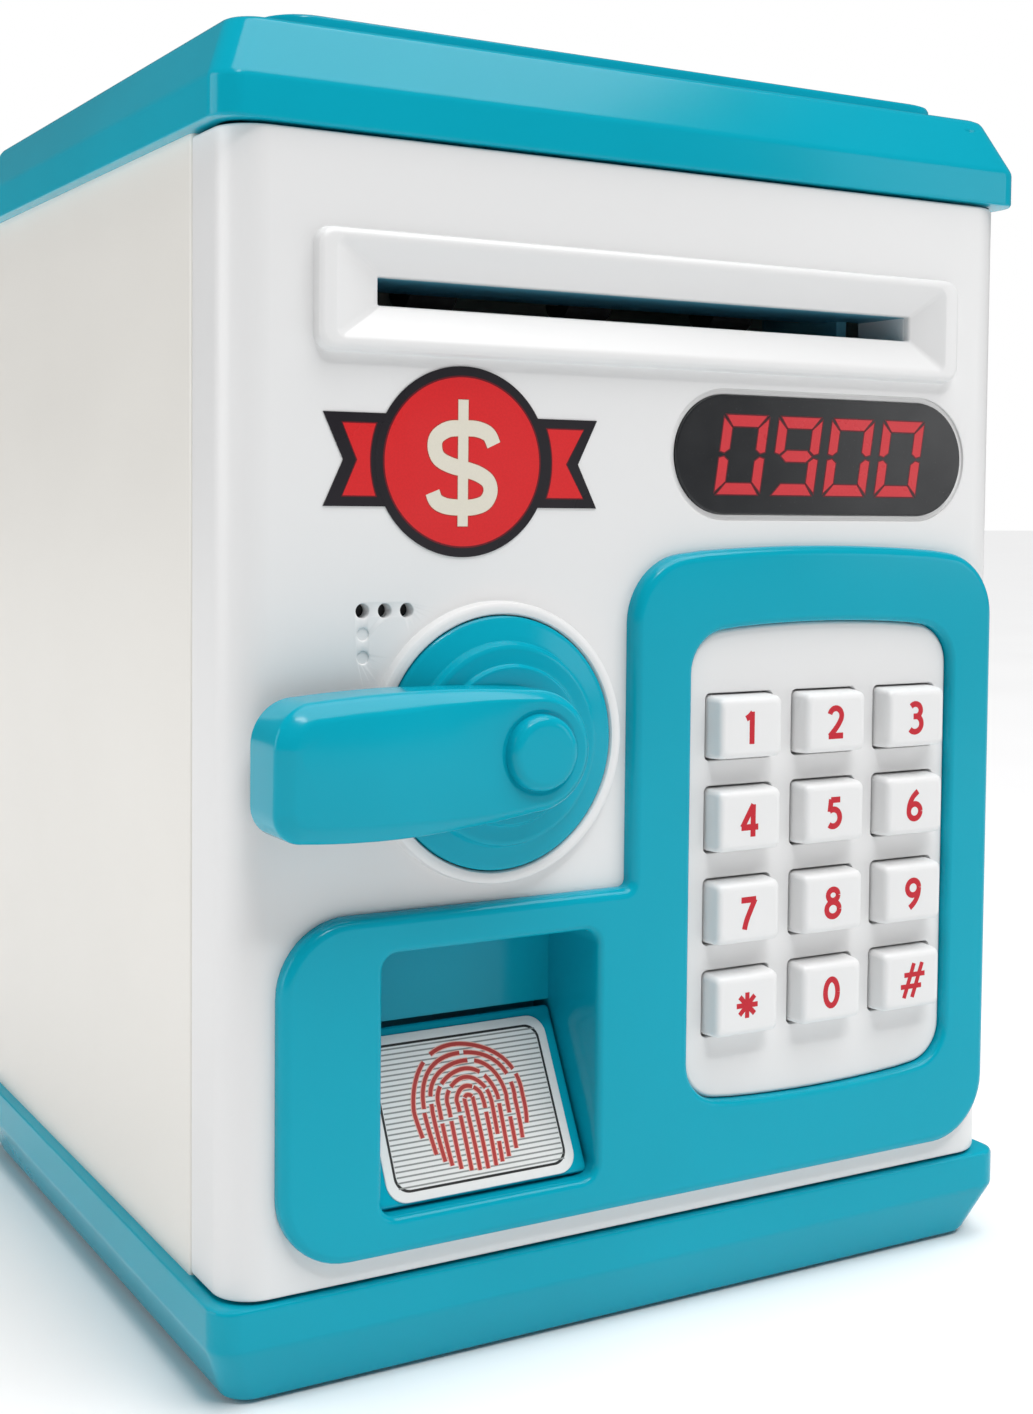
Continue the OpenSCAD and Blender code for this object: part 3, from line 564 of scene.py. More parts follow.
def build_lid():
    """Band, chamfer and flat top with a raised pad, a coin slot and the hollow underneath."""
    m = Maker(on_plan)
    low, top, pad_top = LID_LO.z, LID_HI.z - PAD_RISE, LID_HI.z
    band = low + LID_BAND
    chute_low, ceiling = top - 10, top - 2.5
    foot, flat = m.tube(rim, [
        (0.5, low), (0.15, low + 0.12), (0, low + 0.5), (0, band - 0.5), (0.06, band), (0.28, band + 0.6),
        (3.5, top - 0.85), (3.85, top - 0.35), (4.4, top - 0.06), (5, top)])
    pad_foot, pad_edge = m.tube(raised_pad, [
        (-0.5, top), (-0.15, top + 0.1), (0, top + 0.4), (0.05, pad_top - 0.7), (0.25, pad_top - 0.22),
        (0.8, pad_top)])
    m.fill(flat, pad_foot)
    slot_edge, slot_foot = m.tube(coin_slot, [
        (0.5, pad_top), (0.15, pad_top - 0.15), (0, pad_top - 0.5), (0, chute_low)])
    m.fill(pad_edge, slot_edge)
    chute_foot, chute_top = m.wall(centred(18, 3.6, 1), chute_low, ceiling)
    m.skin(slot_foot, chute_foot)
    hollow_top, hollow_foot = m.wall(centred(63.5, 57.5, 3), ceiling, band - 0.5)
    m.fill(hollow_top, chute_top)
    step_top, step_foot = m.wall(centred(68, 62, 2.5), band - 0.5, low)
    m.fill(step_top, hollow_foot)
    m.fill(foot, step_foot)
    for x, y in POSTS:
        post(m, x, y, POST_R, POST_HOLE, low, ceiling + 0.5)
    post(m, HINGE_X, FACE_Y + HINGE_D, 5, 1.55, low, ceiling + 0.5)
    m.finish("lid", "cabinet", [TEAL], ["top_lid"], "teal_plastic")


def build_base():
    """Tray with a band, a chamfer that tucks under, wells inside and recesses for feet and screws."""
    m = Maker(on_plan)
    low, top = BASE_LO.z, BASE_HI.z
    band, floor = low + BASE_BAND, low + TRAY_FLOOR
    foot, edge = m.tube(rim, [
        (4.2, low), (3.65, low + 0.12), (3.3, low + 0.6), (0.3, band - 0.6), (0.06, band), (0, band + 0.5),
        (0, top - 0.6), (0.18, top - 0.18), (0.6, top)])
    front, back = FACE_Y + 16.5, SHELL_BACK - 3
    well_top, well_foot = m.wall(round_rect(-66, front, 66, back, 2), top, band + 0.5)
    deep_top, deep_foot = m.wall(round_rect(-62.5, front + 0.2, 62.5, back - 3, 3), band + 0.5, floor)
    sill_top, sill_foot = m.wall(round_rect(-61, FACE_Y + 3, HINGE_X - 6, FACE_Y + 13, 2), top, floor)
    m.fill(edge, well_top, sill_top)
    m.fill(well_foot, deep_top)
    m.cap(deep_foot)
    m.cap(sill_foot)
    under = []
    for x, y in POSTS:
        rim_ring, bottom = m.join([m.ring(circle(x, y, r, 32), z)
                                   for r, z in ((3.7, low), (3.4, low + 0.3), (3.4, 4.6))])
        m.cap(bottom)
        under.append(rim_ring)
    for x, y in FEET:
        rim_ring, bottom = m.wall(circle(x, y, FOOT_R + 0.05, 48), low, low + 1)
        m.cap(bottom)
        under.append(rim_ring)
    m.fill(foot, *under)
    for x, y in POSTS:
        post(m, x, y, POST_R, 1.6, floor - 0.5, top, bottom_open=False)
    m.finish("base", "cabinet", [TEAL], ["base_tray"], "teal_plastic")


def bar_along_x(x0, x1, y0, y1, r):
    return round_rect(min(x0, x1), y0, max(x0, x1), y1, r)


def build_shell():
    """One wall bent round three sides, with softened front edges, and its screw tabs and posts."""
    m = Maker(on_plan)
    low, high = SHELL_LO.z, SHELL_HI.z
    x, t = SHELL_HI.x, SHELL_WALL
    wall = rounded([
        (-x, SHELL_FRONT, 0.7), (-x + t, SHELL_FRONT, 0.6), (-x + t, SHELL_BACK - t, 3.8),
        (x - t, SHELL_BACK - t, 3.8), (x - t, SHELL_FRONT, 0.6), (x, SHELL_FRONT, 0.7),
        (x, SHELL_BACK, 6), (-x, SHELL_BACK, 6),
    ], 8)
    m.slab(wall, low, high)
    for px, py in POSTS:
        side = 1 if px > 0 else -1
        tab = m.wall(bar_along_x(px - side * 3.9, (x - 1) * side, py - 5, py + 5, 0.8), high - 3, high)
        hole = m.wall(circle(px, py, 1.7, 24), high - 3, high)
        m.fill(tab[0], hole[0])
        m.fill(tab[1], hole[1])
        m.slab(bar_along_x(px + side * 2, (x - 1) * side, py - 1.5, py + 1.5, 0.4), low, low + 16)
        post(m, px, py, POST_R, POST_HOLE, low, low + 16)
    m.finish("shell", "cabinet", [CREAM], ["body_shell"], "cream_shell")


def build_feet():
    m = Maker(on_plan)
    for x, y in FEET:
        m.plate(circle(x, y, FOOT_R, 48), 1.6, [(0, 0.5), (0.15, 0.15), (0.5, 0), (1.2, 0)])
    m.finish("feet", "cabinet", [RUBBER], ["foot_pads"], "foot_rubber")


# ---------------------------------------------------------------------------
# Door
# ---------------------------------------------------------------------------

DOOR_WALL = 2.2
SLOT_HALF_W = 48.5
SLOT_HALF_H = 1.95
SPEAKER_AT = (-49.4, 109.9)
SPEAKER_PITCH = 3.4
DIMPLE_PITCH = 3.25
LATCH_EDGE_R = 6
WINDOW_GAP = 0.9
BEZEL = (57, 8.6, 57, 8.1)
FUNNEL = (54, 6.7, 53.6, 6.4)
MOUTH = (SLOT_HALF_W - 1.6, SLOT_HALF_H, SLOT_HALF_W, SLOT_HALF_H)
KEYPAD_OPENING = (6.4, 36.9, 54.6, 102.1, 2)
NICHE_OPENING = (-48.7, 21.5, -10.1, 63.7, 1)
# Radius and depth of the raised ring round the handle, its well, and the hole for the spindle
HANDLE_RING = (
    (20.75, 0), (20.45, -0.1), (20.4, -0.4), (20.35, -1.4), (20.2, -1.75), (19.85, -1.95), (19.5, -2),
    (19.1, -2), (18.75, -1.9), (18.55, -1.6), (18.5, -1.2), (18.5, 0), (3.9, 0), (3.9, DOOR_WALL),
)


def door_edge(amount=0.0):
    """Plan of the door: half round at the hinge, small round at the latch. Its last side is the front."""
    latch = DOOR_LO.x + LATCH_EDGE_R
    return (
        arc(HINGE_X, HINGE_D, 7 - amount, -90, 90, 16)
        + [(DOOR_LO.x + amount, DOOR_T - amount)]
        + arc(latch, LATCH_EDGE_R, LATCH_EDGE_R - amount, 180, 270, 10)
    )


def on_door_plan(x, depth, height):
    return Vector((x, FACE_Y + depth, height)) * MM


def about_slot(reach, amount, r):
    """Outline that reaches left, down, right and up from the note slot's middle, grown by an amount."""
    left, down, right, up = reach
    return round_rect(-left - amount, SLOT_Z - down - amount, right + amount, SLOT_Z + up + amount, r, 6)


def window_rim(amount):
    """Stadium round the display window, drawn inwards."""
    gap = WINDOW_GAP - amount
    return round_rect(WINDOW_LO.x - gap, WINDOW_LO.z - gap, WINDOW_HI.x + gap, WINDOW_HI.z + gap,
                      10.05 - amount, 16)


def holes_of_the_face(m):
    """Features of the door's face. Returns their rims on the face, and on the wall's inner side."""
    face, inner = [], []

    def take(rings, through):
        first, last = m.join(rings)
        face.append(first)
        if through:
            inner.append(last)
        else:
            m.cap(last)

    take([m.ring(about_slot(BEZEL, -a, 2.5 - 0.6 * a), d) for a, d in (
             (-0.4, 0), (-0.1, -0.1), (0, -0.4), (0.1, -1.1), (0.25, -1.6), (0.6, -1.9), (1.0, -2))]
         + [m.ring(about_slot(FUNNEL, a, 1.1 + a), d) for a, d in (
             (0.45, -2), (0.12, -1.92), (-0.25, -1.7))]
         + [m.ring(about_slot(MOUTH, a, 0.3 + a), d) for a, d in (
             (0.3, 0.75), (0.08, 0.98), (0, 1.3), (0, DOOR_WALL))], True)
    take([m.ring(circle(AXIS_X, AXIS_Z, r, 96), d) for r, d in HANDLE_RING], True)
    take([m.ring(window_rim(a), d) for a, d in (
        (-0.25, 0), (-0.05, 0.06), (0, 0.2), (0.05, 0.4), (0.8, 0.4), (0.8, 0.8))], False)
    x, z = SPEAKER_AT
    for i in range(3):
        take([m.ring(circle(x + SPEAKER_PITCH * i, z, r, 32), d)
              for r, d in ((1.25, 0), (1.06, 0.1), (1, 0.35), (1, DOOR_WALL))], True)
    for i in (1, 2):
        take([m.ring(circle(x + 0.1, z - DIMPLE_PITCH * i, r, 32), d)
              for r, d in ((1.15, 0), (0.95, 0.1), (0.85, 0.3), (0.6, 0.32))], False)
    for opening in (KEYPAD_OPENING, NICHE_OPENING):
        take([m.ring(round_rect(*opening), d) for d in (0, DOOR_WALL)], True)
    return face, inner


def build_door():
    m = Maker(on_door_plan)
    low, high = DOOR_LO.z, DOOR_HI.z
    rings = [m.ring(door_edge(a), z) for a, z in (
        (0.5, low), (0.15, low + 0.15), (0, low + 0.5), (0, high - 0.5), (0.15, high - 0.15), (0.5, high))]
    m.join(rings[:3])
    m.join(rings[3:])
    m.cap(rings[0])
    m.cap(rings[5])
    below, above = rings[2], rings[3]
    front, back = len(below) - 1, 16
    for i in range(len(below)):
        if i not in (front, back):
            j = (i + 1) % len(below)
            m.bm.faces.new((below[i], below[j], above[j], above[i]))
    side = [(DOOR_LO.x + DOOR_WALL, DOOR_T)] + arc(DOOR_LO.x + LATCH_EDGE_R, LATCH_EDGE_R,
                                                   LATCH_EDGE_R - DOOR_WALL, 180, 270, 8)
    hinge = arc(HINGE_X, HINGE_D, 4.8, -90, 90, 12) + [(HINGE_X - 0.2, DOOR_T - 1.6),
                                                       (HINGE_X - 0.2, DOOR_T)]
    cavity = [m.ring(side + hinge, z) for z in (low + 2, high - 2)]
    for i in range(len(cavity[0]) - 1):
        if i != len(side) - 1:
            m.bm.faces.new((cavity[0][i], cavity[0][i + 1], cavity[1][i + 1], cavity[1][i]))
    m.cap(cavity[0])
    m.cap(cavity[1])
    m.fill([below[back], below[back + 1], above[back + 1], above[back]],
           [cavity[0][0], cavity[0][-1], cavity[1][-1], cavity[1][0]])
    m.place = on_face
    face, inner = holes_of_the_face(m)
    m.fill([below[front], below[0], above[0], above[front]], *face)
    a = len(side) - 1
    m.fill([cavity[0][a], cavity[0][a + 1], cavity[1][a + 1], cavity[1][a]], *inner)
    m.finish("door_front", "door", [WHITE], ["door_panel"], "white_plastic")


# ---------------------------------------------------------------------------
# Trim, finger niche and keypad plate
# ---------------------------------------------------------------------------

TRIM_STEP = -6.1
TRIM_MID_Z = 67.6
TRIM_R = 10.5
NICHE = (-47.0, 24.5, -11.8, 62.0)
SLOPE_START = (-0.6, 24.9)
SLOPE_TILT = 28.5
SLOPE_TOP_Z = 48.3
NICHE_BACK = 12.5
NICHE_WALL = 1.6


def arched_top(x0, x1, peak, radius, trim, steps=10):
    """Points along an arch from right to left, leaving room for the corners."""
    mid = (x0 + x1) / 2
    points = []
    for i in range(steps + 1):
        x = x1 - trim - (x1 - x0 - 2 * trim) * i / steps
        points.append((x, peak - radius + math.sqrt(radius ** 2 - (x - mid) ** 2), 0))
    return points


def trim_outline():
    x0, x1 = TRIM_LO.x, TRIM_HI.x
    drop = 2.3
    return rounded(
        [(x0, TRIM_LO.z, TRIM_R), (x1, TRIM_LO.z, TRIM_R), (x1, TRIM_HI.z - drop, TRIM_R)]
        + arched_top(TRIM_STEP, x1, TRIM_HI.z, 330, 13)
        + [(TRIM_STEP, TRIM_HI.z - drop, TRIM_R), (TRIM_STEP, TRIM_MID_Z, 1.2), (x0, TRIM_MID_Z, TRIM_R)],
        12)


def keypad_outline(amount):
    """Plate outline, arched at top and bottom, drawn inwards."""
    x0, x1, z0, z1 = PLATE_LO.x, PLATE_HI.x, PLATE_LO.z, PLATE_HI.z
    drop = 1.65
    top = arched_top(x0, x1, z1, 230, 9, 8)
    bottom = [(x, z0 + z1 - z, 0) for x, z, _ in reversed(top)]
    r = 6.5
    whole = rounded(
        [(x0, z0 + drop, r)] + bottom + [(x1, z0 + drop, r), (x1, z1 - drop, r)] + top
        + [(x0, z1 - drop, r)], 10)
    return inset(whole, amount) if amount else whole


def niche_outline(amount):
    """Opening of the niche, with level points on both sides so that its far side can be stepped."""
    x0, z0, x1, z1 = NICHE
    r, levels = 2.4, (45.6, SLOPE_TOP_Z - 0.02, SLOPE_TOP_Z + 0.02)
    x0, z0, x1, z1 = x0 + amount, z0 + amount, x1 - amount, z1 - amount
    r = r - amount
    return (
        arc(x1 - r, z0 + r, r, -90, 0, 6) + [(x1, z) for z in levels]
        + arc(x1 - r, z1 - r, r, 0, 90, 6) + arc(x0 + r, z1 - r, r, 90, 180, 6)
        + [(x0, z) for z in reversed(levels)] + arc(x0 + r, z0 + r, r, 180, 270, 6)
    )


def niche_floor(extra):
    """Depth of the niche's far side at each height: a slope, and a step up behind it."""
    def depth(x, z):
        if z > SLOPE_TOP_Z:
            return NICHE_BACK + extra
        return min(4.85 + (z - 23.2) * 0.5424, 17) + extra
    return depth


def close_far_side(m, ring):
    """Closes a ring that is the same on its left and right with level strips."""
    count = len(ring)
    for i in range(count // 2 - 1):
        m.bm.faces.new((ring[i], ring[i + 1], ring[count - 2 - i], ring[count - 1 - i]))


def build_trim():
    m = Maker(on_face)
    front = TRIM_LO.y - FACE_Y
    outer = m.rings(trim_outline(), [(0, 0), (0, front + 1.7)] + edge_round(1.6, front, 6))
    keypad = m.rings(keypad_outline(-0.1), [(-1.0, front), (-0.62, front + 0.07), (-0.3, front + 0.28),
                                            (-0.08, front + 0.62), (0, front + 1.05), (0, 0)])
    niche = m.rings(niche_outline(0), [(-1.1, front), (-0.68, front + 0.08), (-0.32, front + 0.32),
                                       (-0.09, front + 0.7), (0, front + 1.15), (0, -0.2),
                                       (0, niche_floor(0))])
    close_far_side(m, niche[1])
    box = m.wall(niche_outline(-NICHE_WALL), 0, niche_floor(NICHE_WALL))
    close_far_side(m, box[1])
    m.fill(outer[1], keypad[0], niche[0])
    m.fill(outer[0], keypad[1], box[0])
    m.finish("trim", "door", [TEAL], ["trim_panel"], "teal_plastic")


KEY_NAMES = ("1", "2", "3", "4", "5", "6", "7", "8", "9", "star", "0", "hash")
KEY_PITCH_X, KEY_PITCH_Z = 16.5, 14.35
KEY_HOLE = (7.8, 96.2, 12.8, 10.4)


def key_hole(i, amount=0.0, r=0.9):
    left, top, w, h = KEY_HOLE
    x0 = left + (i % 3) * KEY_PITCH_X
    z1 = top - (i // 3) * KEY_PITCH_Z
    return round_rect(x0 + amount, z1 - h + amount, x0 + w - amount, z1 - amount, r, 5)


def build_keypad_plate():
    m = Maker(on_face)
    front, back = PLATE_LO.y - FACE_Y, DOOR_WALL
    outer = m.rings(keypad_outline(0), [(0, 0), (0, front + 0.75)] + edge_round(0.7, front, 4))
    block = m.wall(round_rect(6.5, 37, 54.5, 102, 2), 0, back)
    m.fill(outer[0], block[0])
    rims = [m.rings(key_hole(i), [(-0.28, front), (-0.08, front + 0.07), (0, front + 0.28), (0, back)])
            for i in range(12)]
    m.fill(outer[1], *[r[0] for r in rims])
    m.fill(block[1], *[r[1] for r in rims])
    m.finish("keypad_face", "door", [WHITE], ["keypad_plate"], "white_plastic")


KEY_FRONT = -4.5


def build_key(i):
    """Cap with drafted sides and soft edges, on a flange behind the plate."""
    name = KEY_NAMES[i]
    m = Maker(on_face)
    profile = [(0, 3), (0, -0.8), (0.12, -2.8), (0.2, -3.55), (0.34, -3.98), (0.58, -4.27), (0.9, -4.43),
               (1.3, KEY_FRONT)]
    first, last = m.tube(lambda a: key_hole(i, 0.3 + a, 0.95), profile)
    m.cap(first[::-1])
    m.cap(last)
    m.plate(key_hole(i, -0.9, 0.6), 3.6, [(0, 2.8), (0.2, 2.6)])
    m.finish("key_cap_" + name, "key_%s_body" % name, [KEY], ["key_" + name], "key_plastic", 40)


# ---------------------------------------------------------------------------
# Printing: key legends, display numerals, badge and finger label
# ---------------------------------------------------------------------------


def loop_path(cx, cz, a, b, start, end, steps=20):
    return [(cx + a * math.cos(math.radians(start + (end - start) * i / steps)),
             cz + b * math.sin(math.radians(start + (end - start) * i / steps)))
            for i in range(steps + 1)]


# Each sign is a set of open paths on a field 3.4 wide and 5 high
GLYPHS = {
    "1": [smooth_path([(0.75, 3.95), (1.35, 4.3), (1.95, 4.85)]), [(1.85, 5.0), (1.85, 0)]],
    "2": [loop_path(1.6, 3.6, 1.2, 1.2, 165, -20, 16)
          + smooth_path([(2.66, 3.0), (2.1, 2.1), (1.2, 1.1), (0.45, 0.4)], 5),
          [(0.25, 0.42), (3.15, 0.42)]],
    "3": [loop_path(1.45, 3.72, 1.15, 1.05, 140, -75, 16), loop_path(1.45, 1.52, 1.35, 1.28, 80, -140, 18),
          [(1.1, 2.75), (1.75, 2.75)]],
    "4": [[(2.35, 5.0), (0.3, 1.55)], [(0.1, 1.5), (3.3, 1.5)], [(2.3, 5.0), (2.3, 0)]],
    "5": [[(2.8, 4.6), (0.95, 4.6)], [(1.0, 4.75), (0.75, 2.75)],
          loop_path(1.45, 1.75, 1.3, 1.35, 125, -130, 20)],
    "6": [smooth_path([(2.35, 4.85), (1.35, 4.0), (0.7, 2.9), (0.48, 1.8)], 6),
          loop_path(1.7, 1.6, 1.22, 1.2, 0, 360, 28)],
    "7": [[(0.3, 4.58), (3.1, 4.58)], smooth_path([(2.9, 4.6), (2.1, 3.0), (1.35, 1.4), (0.95, 0)], 6)],
    "8": [loop_path(1.7, 3.75, 1.0, 0.9, 0, 360, 26), loop_path(1.7, 1.5, 1.25, 1.15, 0, 360, 28)],
    "9": [smooth_path([(1.05, 0.15), (2.05, 1.0), (2.7, 2.1), (2.92, 3.2)], 6),
          loop_path(1.7, 3.4, 1.22, 1.2, 0, 360, 28)],
    "0": [loop_path(1.7, 2.5, 1.22, 2.1, 0, 360, 36)],
    "star": [[(1.7 - 2.0 * math.cos(math.radians(a)), 2.5 - 2.0 * math.sin(math.radians(a))),
              (1.7 + 2.0 * math.cos(math.radians(a)), 2.5 + 2.0 * math.sin(math.radians(a)))]
             for a in (0, 45, 90, 135)],
    "hash": [[(0.2, -0.3), (2.2, 5.3)], [(1.9, -0.3), (3.9, 5.3)], [(-0.5, 1.55), (3.8, 1.55)],
             [(0.2, 3.45), (4.5, 3.45)]],
}
LEGEND_STROKE = 0.96
LEGEND_MIDDLE = (1.95, 2.5)


def film(m, outlines, back, front, step=0.002):
    """Thin printed shapes, each a hair prouder than the last so that crossings stay clean."""
    for i, outline in enumerate(outlines):
        m.slab(outline, back, front - step * i, m.material)


def build_legend(i):
    name = KEY_NAMES[i]
    left, top, w, h = KEY_HOLE
    x = left + (i % 3) * KEY_PITCH_X + w / 2 - LEGEND_MIDDLE[0]
    z = top - (i // 3) * KEY_PITCH_Z - h / 2 - LEGEND_MIDDLE[1]
    m = Maker(on_face)
    width = LEGEND_STROKE * (0.84 if name in ("star", "hash") else 1)
    marks = [stroke([(x + px, z + pz) for px, pz in path], width) for path in GLYPHS[name]]
    film(m, marks, KEY_FRONT + 0.12, KEY_FRONT - 0.004)
    m.finish("legend_" + name, "key_%s_body" % name, [LEGEND], (), "key_plastic")


DIGIT_SEGMENTS = {"0": "abcdef", "9": "abcdfg"}
DIGIT_W, DIGIT_H, DIGIT_STROKE, DIGIT_PITCH = 8.5, 12.2, 1.7, 10.5
DIGIT_LEAN = math.tan(math.radians(8.5))
SEGMENT_GAP = 0.46


def segment(which, grow):
    """One bar of a numeral with mitred ends; a is the top bar and the rest run clockwise."""
    w, h, t, g = DIGIT_W, DIGIT_H, DIGIT_STROKE, SEGMENT_GAP
    half = h / 2
    if which == "g":
        points = [(t * 0.75, half), (t * 1.35, half - t * 0.5), (w - t * 1.35, half - t * 0.5),
                  (w - t * 0.75, half), (w - t * 1.35, half + t * 0.5), (t * 1.35, half + t * 0.5)]
    elif which in "ad":
        points = [(g, 0), (w - g, 0), (w - t - g * 0.4, t), (t + g * 0.4, t)]
    else:
        points = [(0, g), (t, t + g * 0.6), (t, half - t * 0.55), (t * 0.5, half - g * 0.7),
                  (0, half - g * 1.2)]
    if which in "bc":
        points = [(w - x, z) for x, z in points]
    if which in "abf":
        points = [(x, h - z) for x, z in points]
    area = sum(a[0] * b[1] - b[0] * a[1] for a, b in zip(points, points[1:] + points[:1]))
    if area < 0:
        points = points[::-1]
    return inset(points, -grow) if grow else points


def build_display():
    """Glossy window with four slanted numerals printed in it."""
    m = Maker(on_face)
    r = (WINDOW_HI.z - WINDOW_LO.z) / 2 - 0.05
    window = round_rect(WINDOW_LO.x, WINDOW_LO.z, WINDOW_HI.x, WINDOW_HI.z, r, 20)
    m.plate(window, 0.8, [(0, 0), (0.08, -0.15), (0.3, -0.2)])
    x0 = (WINDOW_LO.x + WINDOW_HI.x) / 2 - (3 * DIGIT_PITCH + DIGIT_W) / 2 - 0.4
    z0 = (WINDOW_LO.z + WINDOW_HI.z) / 2 - DIGIT_H / 2
    for material, grow, front in ((1, 0.2, -0.21), (2, 0, -0.22)):
        m.material = material
        bars = []
        for k, digit in enumerate("0900"):
            for which in DIGIT_SEGMENTS[digit]:
                bars.append([(x0 + k * DIGIT_PITCH + px + (pz - DIGIT_H / 2) * DIGIT_LEAN, z0 + pz)
                             for px, pz in segment(which, grow)])
        film(m, bars, -0.19, front, 0)
    m.finish("display", "door", [DISPLAY, DIGIT_EDGE, DIGIT_RED], ["display_window"], "display_gloss")


SIGN_SCALE = 0.89
SIGN_DROP = 0.85


def currency_sign(cx, cz):
    """Paths of a plain currency sign: an S of two bowls with a bar through it."""
    curl = smooth_path([(5.55, 3.75), (4.6, 5.45), (2.5, 6.25), (0, 6.3), (-2.6, 6.1), (-4.6, 4.9),
                        (-5.05, 3.2), (-4.3, 1.45), (-2.2, 0.4), (0.4, -0.2), (2.9, -0.95), (4.6, -2.1),
                        (5.0, -3.75), (4.1, -5.4), (2.2, -6.15), (0, -6.3), (-2.9, -6.1), (-4.7, -5.3),
                        (-5.4, -3.9)], 6)
    s_shape = [(cx + SIGN_SCALE * x, cz - SIGN_DROP + SIGN_SCALE * z) for x, z in curl]
    return s_shape, [(cx, cz - 9.05), (cx, cz + 8.75)]


def oval(cx, cz, a, b, steps=128):
    return loop_path(cx, cz, a, b, 0, 360, steps)[:-1]


BADGE_X = -33.95
RIBBON_LOW, RIBBON_HIGH = 6.4, 6.5
RIBBON_RIM = 1.3


def build_badge():
    """Round badge with a ribbon behind it, as printed film: black, then its lines, then its fields."""
    cx, cz = BADGE_X, (BADGE_LO.z + BADGE_HI.z) / 2
    z0, z1 = cz - RIBBON_LOW, cz + RIBBON_HIGH
    left, right = BADGE_LO.x, BADGE_HI.x
    m = Maker(on_face)
    ribbon_left = [(left, z1), (left + 3, cz), (left, z0), (cx - 8, z0), (cx - 8, z1)]
    ribbon_right = [(right, z0), (right - 3.2, cz), (right, z1), (cx + 8, z1), (cx + 8, z0)]
    film(m, [ribbon_left, ribbon_right], 0, -0.17)
    m.slab(oval(cx, cz, 13.8, 13.5), 0, -0.19, 0)

    def beside(sign, extra):
        """One end of the ribbon, its inner side curved round the disc, drawn in from the black edge."""
        lo, hi = z0 + RIBBON_RIM + extra, z1 - RIBBON_RIM - extra
        end, notch, thick = (left, 3.0, 2.7) if sign < 0 else (right, 3.2, 2.2)
        outer = end - sign * (thick + extra)
        tip = end - sign * (notch + 1.9 + extra)
        bow = []
        for k in range(13):
            z = lo + (hi - lo) * k / 12
            bow.append((cx + sign * math.sqrt((14.4 + extra) ** 2 - (z - cz) ** 2), z))
        points = bow + [(outer, hi), (tip, cz), (outer, lo)]
        return points if sign > 0 else points[::-1]

    for material, extra, front in ((2, 0.0, -0.178), (1, 0.18, -0.186)):
        m.material = material
        film(m, [beside(-1, extra), beside(1, extra)], -0.16, front)
    m.slab(oval(cx, cz, 12.6, 12.2), -0.18, -0.2, 2)
    m.slab(oval(cx, cz, 12.35, 11.95), -0.18, -0.208, 1)
    curl, bar = currency_sign(cx - 0.1, cz)
    for material, extra, front in ((2, 0.3, -0.215), (4, 0.16, -0.222), (3, 0, -0.229)):
        m.material = material
        bar_line = [(bar[0][0], bar[0][1] - extra / 2), (bar[1][0], bar[1][1] + extra / 2)]
        film(m, [stroke(curl, 2.15 + extra), stroke(bar_line, 1.5 + extra)], -0.2, front, 0.001)
    m.finish("badge", "door", [BADGE_BLACK, BADGE_RED, BADGE_EDGE, BADGE_CREAM, BADGE_PEACH],
             ["badge_sticker"], "badge_print")


# ---------------------------------------------------------------------------
# Finger pad and its printed label, on the sloping seat
# ---------------------------------------------------------------------------


def on_slope(x, up, out):
    """X across the niche, distance up the slope, and height out of it."""
    a = math.radians(90 - SLOPE_TILT)
    mid = (NICHE[0] + NICHE[2]) / 2
    return Vector((
        mid + x,
        FACE_Y + SLOPE_START[0] + up * math.cos(a) - out * math.sin(a),
        SLOPE_START[1] + up * math.sin(a) + out * math.cos(a),
    )) * MM


LABEL = (-15.5, 0.6, 15.5, 24.6)
RIDGE_FIELD = (9.9, 9.6)
RIDGE_PITCH = 1.4


def build_pad():
    m = Maker(on_slope)
    m.plate(round_rect(-17.2, 0.4, 17.2, 26, 0.8), -1.6,
            [(0, -0.5), (0.12, -0.18), (0.32, -0.05), (0.6, 0)])
    m.finish("pad", "finger_button", [TEAL], ["finger_pad"], "teal_plastic")


def ridge_paths():
    """A made-up whorl: arches one inside another on upright legs, all inside an oval, with gaps."""
    draw = random.Random(11)
    half_w, half_h = RIDGE_FIELD
    paths = []
    for k in range(7):
        r = 0.7 + RIDGE_PITCH * k
        top_z, sway = 0.7 - 0.07 * k, 0.12 * math.sin(1.7 * k)
        arch = []
        for i in range(37):
            t = math.radians(180 - 5 * i)
            swell = 1 + 0.02 * math.sin(4 * t + k)
            arch.append((sway + r * swell * math.cos(t), top_z + r * 0.97 * swell * math.sin(t)))
        legs = []
        for side in (0, -1):
            x, z = arch[side]
            foot = -half_h * math.sqrt(max(1 - (x / half_w) ** 2, 0.02))
            steps = max(int((z - foot) / 0.5), 1)
            legs.append([(x * (1 - 0.05 * (j / steps) ** 2) + 0.1 * math.sin(2.5 * j / steps + k),
                          z - (z - foot) * j / steps) for j in range(1, steps + 1)])
        whole = legs[0][::-1] + arch + legs[1]
        start = 0
        while start < len(whole) - 3:
            end = min(start + draw.randint(10, 26), len(whole) - 1)
            if len(whole) - 1 - end < 5:
                end = len(whole) - 1
            paths.append(whole[start:end + 1])
            start = end + draw.choice((1, 1, 2))
    return paths


